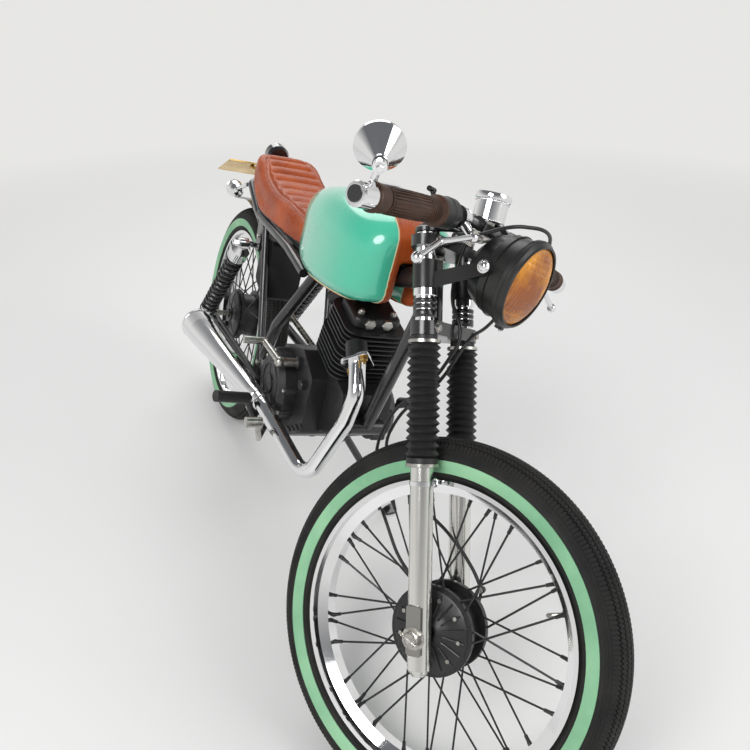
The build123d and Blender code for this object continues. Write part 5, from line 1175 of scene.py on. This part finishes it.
for side in SIDES:
    for (z0, w0), (z1, w1) in zip(BIB_EDGE, BIB_EDGE[1:]):
        cut((0, side * w0, z0), (0, side * w1, z1), AHEAD, lambda spot: (
            spot.x > 850 and beside(spot.z, z0, z1) and spot.y * side > 0))
    for (x0, w0), (x1, w1) in zip(TOP_EDGE, TOP_EDGE[1:]):
        cut((x0, side * w0, 0), (x1, side * w1, 0), UP, lambda spot: (
            spot.z > 780 and beside(spot.x, x0, x1) and spot.y * side > -2))
for (x0, z0), (x1, z1) in zip(SIDE_EDGE, SIDE_EDGE[1:]):
    cut((x0, 0, z0), (x1, 0, z1), LEFT, lambda spot: beside(spot.x, x0, x1) and spot.z < 710)
skin.normal_update()
hides = {face for face in skin.faces if is_leather(face.calc_center_median())}
rims = [edge for edge in skin.edges
        if len(edge.link_faces) == 2 and len(hides.intersection(edge.link_faces)) == 1]


def loops_of(edges):
    """Chains of joined edges, as lists of vertices."""
    near = {}
    for edge in edges:
        for corner in edge.verts:
            near.setdefault(corner, []).append(edge.other_vert(corner))
    left = set(near)
    chains = []
    while left:
        ends = [corner for corner in left if len(near[corner]) == 1]
        here = min(ends or left, key=lambda corner: corner.index)
        chain = [here]
        left.discard(here)
        while True:
            ahead = [corner for corner in near[here] if corner in left]
            if not ahead:
                break
            here = ahead[0]
            left.discard(here)
            chain.append(here)
        chains.append(chain)
    return chains


def evened(path, pitch):
    """The same path with its points a fixed distance apart."""
    out = [path[0]]
    carried = 0.0
    for a, b in zip(path, path[1:]):
        run = (b - a).length
        while carried + run >= pitch:
            step = (pitch - carried) / run
            a = a.lerp(b, step)
            out.append(a)
            run = (b - a).length
            carried = 0.0
        carried += run
    return out


def smoothed(path, rounds):
    """The same path with its corners rounded off."""
    for _ in range(rounds):
        middle = [(a + b * 2 + c) / 4 for a, b, c in zip(path, path[1:], path[2:])]
        path = [path[0], *middle, path[-1]]
    return path


skin.verts.index_update()
leather_edges = []
for chain in loops_of(rims):
    path = [corner.co.copy() for corner in chain]
    if sum((b - a).length for a, b in zip(path, path[1:])) > 150 and path[0].z > 660:
        leather_edges.append(smoothed(evened(path, 3.0), 3))

hide_form = skin.copy()
skin.faces.ensure_lookup_table()
hide_faces = {face.index for face in hides}
bmesh.ops.delete(skin, geom=[face for face in skin.faces if face in hides], context="FACES")
hide_form.faces.ensure_lookup_table()
painted = [face for face in hide_form.faces if face.index not in hide_faces]
bmesh.ops.delete(hide_form, geom=painted, context="FACES")
hide_form.normal_update()
lifts = [(corner, corner.normal.copy()) for corner in hide_form.verts if not corner.is_boundary]
for corner, normal in lifts:
    corner.co += normal * HIDE_THICKNESS


def finish_skin(form, obj, finish, node):
    """Puts an edited skin on its object, in place of a CAD node."""
    form.transform(PLACES["frame"])
    form.to_mesh(obj.data)
    form.free()
    for face in obj.data.polygons:
        face.use_smooth = True
    obj.data.materials.clear()
    obj.data.materials.append(finish.material)
    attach(obj, "frame")
    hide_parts(node)


finish_skin(skin, tank, mint_paint, "fuel_tank")
tank_skin = BVHTree.FromObject(tank, bpy.context.evaluated_depsgraph_get())


def on_tank(start, direction):
    """Where a ray from a point of the upright machine meets the tank, and how its skin faces."""
    origin = PLACES["frame"] @ Vector(start)
    ray = (leaning.to_3x3() @ Vector(direction)).normalized()
    hit, normal, _, _ = tank_skin.ray_cast(origin, ray)
    return to_upright @ hit, (back_to_upright @ normal).normalized()


# the cord's pale colour over the leather's edge is a painted highlight, the light caught on that
# edge
highlight_cord_paint = Finish("highlight_cord_paint", "brown_leather", (0.62, 0.55, 0.33), 0.45)
highlight_cord_paint.uneven(0.38, 0.52, 80.0)
cord = Forming()
for path in leather_edges:
    cord.tube(path, 1.4, 8)
cord.piece("tank_edge_highlight_cord", "frame", highlight_cord_paint)

CAP_SPOT = Vector((676.0, 14.0, 0))
CAP_GRIPS = 24
cap_seat, cap_up = on_tank(CAP_SPOT + UP * 1000, -UP)
filler = Forming()
filler.turned([(36, -3), (36, 1.2), (33, 3.2), (31, 3.4), (31, 12), (33.4, 13.4), (33.8, 17),
               (31.5, 19.6), (22, 21.4), (0, 22.2)], cap_seat, cap_up, 72)
for ray in rays(cap_up, CAP_GRIPS):
    filler.tube([cap_seat + ray * 33.4 + cap_up * 13.6, cap_seat + ray * 33.8 + cap_up * 16.8],
                1.5, 6)
filler.piece("filler_cap", "frame", chrome)


# Leather
# Oiled tan cowhide, about two millimetres thick. It is glued over the front of the tank with a row
# of stitches along its edge, and sewn into the seat's cover.

tan_leather = Finish("tan_leather", "brown_leather", (0.40, 0.085, 0.018), 0.4,
                     specular_ior_level=0.35)
tan_leather.uneven(0.22, 0.4, 30.0)
tan_leather.mottle((0.31, 0.050, 0.008), (0.45, 0.085, 0.014), 16.0, 0.3, 0.7)
grain = tan_leather.node("ShaderNodeTexVoronoi", {"feature": "DISTANCE_TO_EDGE"}, {
    "Vector": tan_leather.place, "Scale": 620.0})
tan_leather.bump(tan_leather.ramp(grain, 0.0, 0.22) + tan_leather.noise(1100.0, 2.0) * 0.4,
                 0.00035, 0.45)
thread = Finish("waxed_thread", "brown_leather", (0.23, 0.055, 0.018), 0.6)
thread.uneven(0.5, 0.7, 300.0)

hide = new_object("tank_leather_cover", bpy.data.meshes.new("tank_leather_cover"))
finish_skin(hide_form, hide, tan_leather, "tank_leather")
hide_skin = BVHTree.FromObject(hide, bpy.context.evaluated_depsgraph_get())
tank_stitches = Forming()
STITCH_INSET = 6.5
STITCH_PITCH = 5.4


def sew(form, marks):
    """Short threads of waxed cord over the skin, one after each mark."""
    for a, b in zip(marks, marks[1:]):
        run = (b - a).normalized()
        form.tube([a, a + run * 1.2, a + run * 3.0, a + run * 4.0], [0.35, 0.75, 0.75, 0.35], 6)


for path in leather_edges:
    inner = []
    for a, b, c in zip(path, path[1:], path[2:]):
        place, normal, _, _ = hide_skin.find_nearest(PLACES["frame"] @ b)
        across = (c - a).cross(back_to_upright @ normal).normalized()
        found = []
        for way in (-1, 1):
            spot = b + across * (way * STITCH_INSET)
            near, normal, _, distance = hide_skin.find_nearest(PLACES["frame"] @ spot)
            found.append((distance, to_upright @ near + (back_to_upright @ normal) * 0.3))
        distance, spot = min(found, key=lambda pair: pair[0])
        if distance < 0.003:
            inner.append(spot)
    if len(inner) > 10:
        sew(tank_stitches, evened(smoothed(inner, 4), STITCH_PITCH))
tank_stitches.piece("tank_stitches", "frame", thread)


# Seat
# A long foam pad on a black pan, covered in the same leather. The middle panel is sewn across in
# raised flutes, with a plain border round it, and the tail kicks up behind.

FLUTE_PITCH = 45.0
FLUTE_DEPTH = 7.5
PANEL_FRONT = 492.0                        # x of the panel's two ends
PANEL_REAR = 96.0
PANEL_CORNER = 26.0
SEAT_BORDER = 27.0
SEAT_HALF_WIDTHS = ((57, 46), (110, 84), (200, 96), (300, 96), (420, 84), (700, 44))
SEAM_DEPTH = 3.6
SEAM_WIDTH = 3.8
SWELL = 0.006                              # how far the foam may rise, in metres
CLOTH_FRAMES = 20

seat = skin_of("seat_cushion", "seat")
settle(seat, "REMESH", mode="VOXEL", voxel_size=0.005, adaptivity=0.0)
normals = [vertex.normal.copy() for vertex in seat.data.vertices]
for vertex, normal in zip(seat.data.vertices, normals):
    height = (to_upright @ vertex.co).z
    vertex.co -= normal * 0.0025 * min(max((height - 684) / 12, 0), 1)

held = seat.vertex_groups.new(name="pan")
for vertex in seat.data.vertices:
    spot = to_upright @ vertex.co
    fixed = 1.0 if spot.z < 690 or spot.x > 484 else 0.0
    if (back_to_upright @ vertex.normal).z < -0.4:
        fixed = 1.0
    held.add([vertex.index], fixed, "REPLACE")
before = [vertex.co.copy() for vertex in seat.data.vertices]
cloth = seat.modifiers.new("cloth", "CLOTH")
cloth.settings.use_pressure = True
cloth.settings.uniform_pressure_force = 4.0
cloth.settings.effector_weights.gravity = 0.0
cloth.settings.vertex_group_mass = "pan"
cloth.settings.quality = 4
for number in range(CLOTH_FRAMES):
    bpy.context.scene.frame_set(number + 1)
graph = bpy.context.evaluated_depsgraph_get()
swollen = bpy.data.meshes.new_from_object(seat.evaluated_get(graph))
after = [vertex.co.copy() for vertex in swollen.vertices]
bpy.data.meshes.remove(swollen)
seat.modifiers.clear()
seat.vertex_groups.clear()
bpy.context.scene.frame_set(1)
for vertex, start, end in zip(seat.data.vertices, before, after):
    move = end - start
    vertex.co = start + move * min(1.0, SWELL / max(move.length, 1e-9))

settle(seat, "SUBSURF", levels=1, render_levels=1)
pan_black = Finish("pan_black", "black_plastic", (0.014, 0.014, 0.014), 0.4)
pan_black.uneven(0.34, 0.48, 40.0)


def panel_inset(x, y):
    """How far inside the edge of the fluted panel a point lies, in mm."""
    across = table(SEAT_HALF_WIDTHS, x) - SEAT_BORDER - abs(y)
    along = x - PANEL_REAR
    if across < PANEL_CORNER and along < PANEL_CORNER:
        return PANEL_CORNER - math.hypot(PANEL_CORNER - across, PANEL_CORNER - along)
    return min(across, along)


def along_seat(x, y):
    """Distance along the curve of the seat from the front of the panel."""
    run = (PANEL_FRONT - x) * (1.0 + 0.10 * min(max((230 - x) / 120, 0), 1))
    return run + 0.0011 * y * y


normals = [vertex.normal.copy() for vertex in seat.data.vertices]
for vertex, outward in zip(seat.data.vertices, normals):
    spot = to_upright @ vertex.co
    normal = back_to_upright @ outward
    if normal.z < 0.25:
        continue
    inset = panel_inset(spot.x, spot.y)
    facing = min((normal.z - 0.25) / 0.3, 1.0)
    sink = SEAM_DEPTH * math.exp(-(inset / SEAM_WIDTH) ** 2)
    if inset > 0:
        wave = abs(math.sin(math.pi * along_seat(spot.x, spot.y) / FLUTE_PITCH))
        flute = 1.0 - wave ** 0.7
        sink = max(sink, FLUTE_DEPTH * flute * min(inset / 16.0, 1.0))
        sink -= 2.0 * min(inset / 20.0, 1.0)
    vertex.co -= outward * (sink * facing * 0.001)

seat.data.materials.append(tan_leather.material)
seat.data.materials.append(pan_black.material)
for face in seat.data.polygons:
    face.use_smooth = True
    under = (to_upright @ face.center).z < 690 or (back_to_upright @ face.normal).z < -0.55
    face.material_index = 1 if under else 0
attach(seat, "frame")
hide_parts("seat")

# a row of stitches just outside the panel's seam
ABOVE_SEAT = 900.0                         # from where the seat's skin is looked for
SEAM_START = 486.0
SEAM_POINTS = 90
SEAM_BEND = 34.0                           # length over which the row turns in at the back
seat_skin = BVHTree.FromObject(seat, bpy.context.evaluated_depsgraph_get())
seat_stitches = Forming()
for side in SIDES:
    line = []
    for step in range(SEAM_POINTS):
        x = SEAM_START - (SEAM_START - PANEL_REAR - 10) * step / (SEAM_POINTS - 1)
        y = side * (table(SEAT_HALF_WIDTHS, x) - SEAT_BORDER + 5.0)
        if x < PANEL_REAR + SEAM_BEND:
            y *= math.cos(min((PANEL_REAR + SEAM_BEND - x) / SEAM_BEND, 1.0) * 1.1)
        origin = PLACES["frame"] @ Vector((x, y, ABOVE_SEAT))
        hit, normal, _, _ = seat_skin.ray_cast(origin, leaning.to_3x3() @ -UP)
        if hit is not None:
            line.append(to_upright @ hit + (back_to_upright @ normal) * 0.35)
    sew(seat_stitches, evened(smoothed(line, 2), STITCH_PITCH))
seat_stitches.piece("seat_stitches", "frame", thread)


# Tail
# A black dome lamp behind the seat, a blank brass plate on two stalks and two chromed indicators
# with amber lenses.

lamp_black = Finish("lamp_black", "lamp_plastic", (0.01, 0.01, 0.011), 0.12, coat_weight=1.0)
lamp_black.uneven(0.08, 0.18, 30.0)
wear(lamp_black, "tail_lamp")

tail_chrome = Forming()
INDICATOR = (12.0, 94.0, 672.0)
indicator_lenses = Forming()
for side in SIDES:
    bulb = Vector(INDICATOR) * Vector((1, side, 1))
    axis = Vector((1, 0, 0.05)).normalized()
    tail_chrome.band(21.4, 22.8, -15.6, -10.6, 1.0, bulb, axis)
    indicator_lenses.turned([(20.4, -14), (20.2, -16.6), (16.4, -21.4), (9.2, -24.4), (0, -25.4)],
                            bulb, axis, 40)
tail_chrome.piece("lamp_rims", "frame", chrome)
indicator_lenses.piece("indicator_lenses", "frame", amber_glass)

PLATE_CENTRE = Vector((-150.0, 0, 700.0))
plate_along = Vector((math.cos(math.radians(25)), 0, math.sin(math.radians(25))))
plate_up = plate_along.cross(LEFT)
plate_trim = Forming()
plate_screws = Forming()
for side in SIDES:
    for half, run, step in ((93.0, LEFT, plate_along * 62.0), (62.0, plate_along, LEFT * 92.0)):
        plate_trim.plate(oblong(half, 1.5), PLATE_CENTRE + step * side + plate_up * 1.2, run,
                         plate_up.cross(run), 1.6, 0.5)
    plate_screws.screw(PLATE_CENTRE + LEFT * (side * 24.0) + plate_along * 34 + plate_up * 1.6,
                       plate_up, 4.5, 3)
plate_trim.piece("plate_border", "frame", brass)
plate_screws.piece("plate_screws", "frame", bright_steel)


# Studio
# A pale floor that fades into an even pale background, with large soft lamps above it.

CAMERA_PLACE = (1.43725, -0.54275, 1.25267)
CAMERA_TURN = (60.634, 0.259, 68.048)      # degrees, about X, Y and Z
CAMERA_LENS = 37.04
PALE = (0.80, 0.795, 0.78)
CEILING = (0.16, 0.165, 0.175)
EVEN_LIGHT = (0.40, 0.405, 0.42)
FLOOR_REACH = 30.0                         # metres to each side
FLOOR_HEIGHT = -0.0005                     # just under the tyres
FADE = (1.5, 4.2)                          # metres from the middle over which the floor fades
LIT_SPOT = Vector((0, 0, 0.45))            # what the lamps point at

floor_paint = Finish("floor_paint", "mint_paint", PALE, 0.6)
floor_paint.uneven(0.5, 0.65, 3.0)
spot = floor_paint.node("ShaderNodeNewGeometry", output="Position")
away = floor_paint.node("ShaderNodeVectorMath", {"operation": "LENGTH"}, {0: spot}, "Value")
seen = floor_paint.node("ShaderNodeLightPath", output="Is Camera Ray")
shone = floor_paint.node("ShaderNodeLightPath", output="Is Glossy Ray")
glow = floor_paint.node("ShaderNodeEmission", {}, {"Color": (*PALE, 1.0), "Strength": 1.0})
lit = Signal(floor_paint, floor_paint.shader.outputs["BSDF"])
both = floor_paint.node("ShaderNodeMixShader", {}, {
    0: floor_paint.ramp(away, *FADE) * (seen + shone), 1: lit, 2: glow})
floor_paint.plug(floor_paint.tree.nodes["Material Output"].inputs["Surface"], both)

studio_mesh = bpy.data.meshes.new("studio_floor")
studio_mesh.from_pydata(
    [(x, y, FLOOR_HEIGHT) for x, y in oblong(FLOOR_REACH, FLOOR_REACH)], [], [(0, 1, 2, 3)])
studio_mesh.materials.append(floor_paint.material)
studio_floor = new_object("studio_floor", studio_mesh)

LAMPS = (
    # name, place, size, power
    ("key_lamp", (2.2, -2.6, 3.4), 2.2, 105.0),
    ("fill_lamp", (2.6, 2.4, 2.6), 2.6, 50.0),
    ("back_lamp", (-2.6, 0.8, 3.2), 3.2, 66.0),
)
for name, place, size, power in LAMPS:
    data = bpy.data.lights.new(name, "AREA")
    data.shape = "DISK"
    data.size = size
    data.energy = power
    lamp = new_object(name, data)
    lamp.location = place
    lamp.rotation_euler = (LIT_SPOT - Vector(place)).to_track_quat("-Z", "Y").to_euler()

# the world: even soft light, seen as pale near the floor and as a darker ceiling in reflections
world = bpy.data.worlds.new("studio")
bpy.context.scene.world = world
world.use_nodes = True
sky = Nodes(world.node_tree)
direction = sky.node("ShaderNodeTexCoord", output="Generated")
upward = sky.node("ShaderNodeSeparateXYZ", {}, {0: direction}, "Z")
seen = sky.node("ShaderNodeLightPath", output="Is Camera Ray")
shone = sky.node("ShaderNodeLightPath", output="Is Glossy Ray")
view = sky.mix(sky.ramp(upward, 0.12, 0.6), PALE, CEILING)
sky.plug(world.node_tree.nodes["Background"].inputs["Color"],
         sky.mix(seen + shone, EVEN_LIGHT, view))

camera_data = bpy.data.cameras.new("photo_view")
camera_data.lens = CAMERA_LENS
camera_data.sensor_width = 36.0
camera = new_object("photo_view", camera_data)
camera.location = CAMERA_PLACE
camera.rotation_euler = [math.radians(turn) for turn in CAMERA_TURN]
bpy.context.scene.camera = camera
bpy.context.scene.view_settings.view_transform = "Standard"
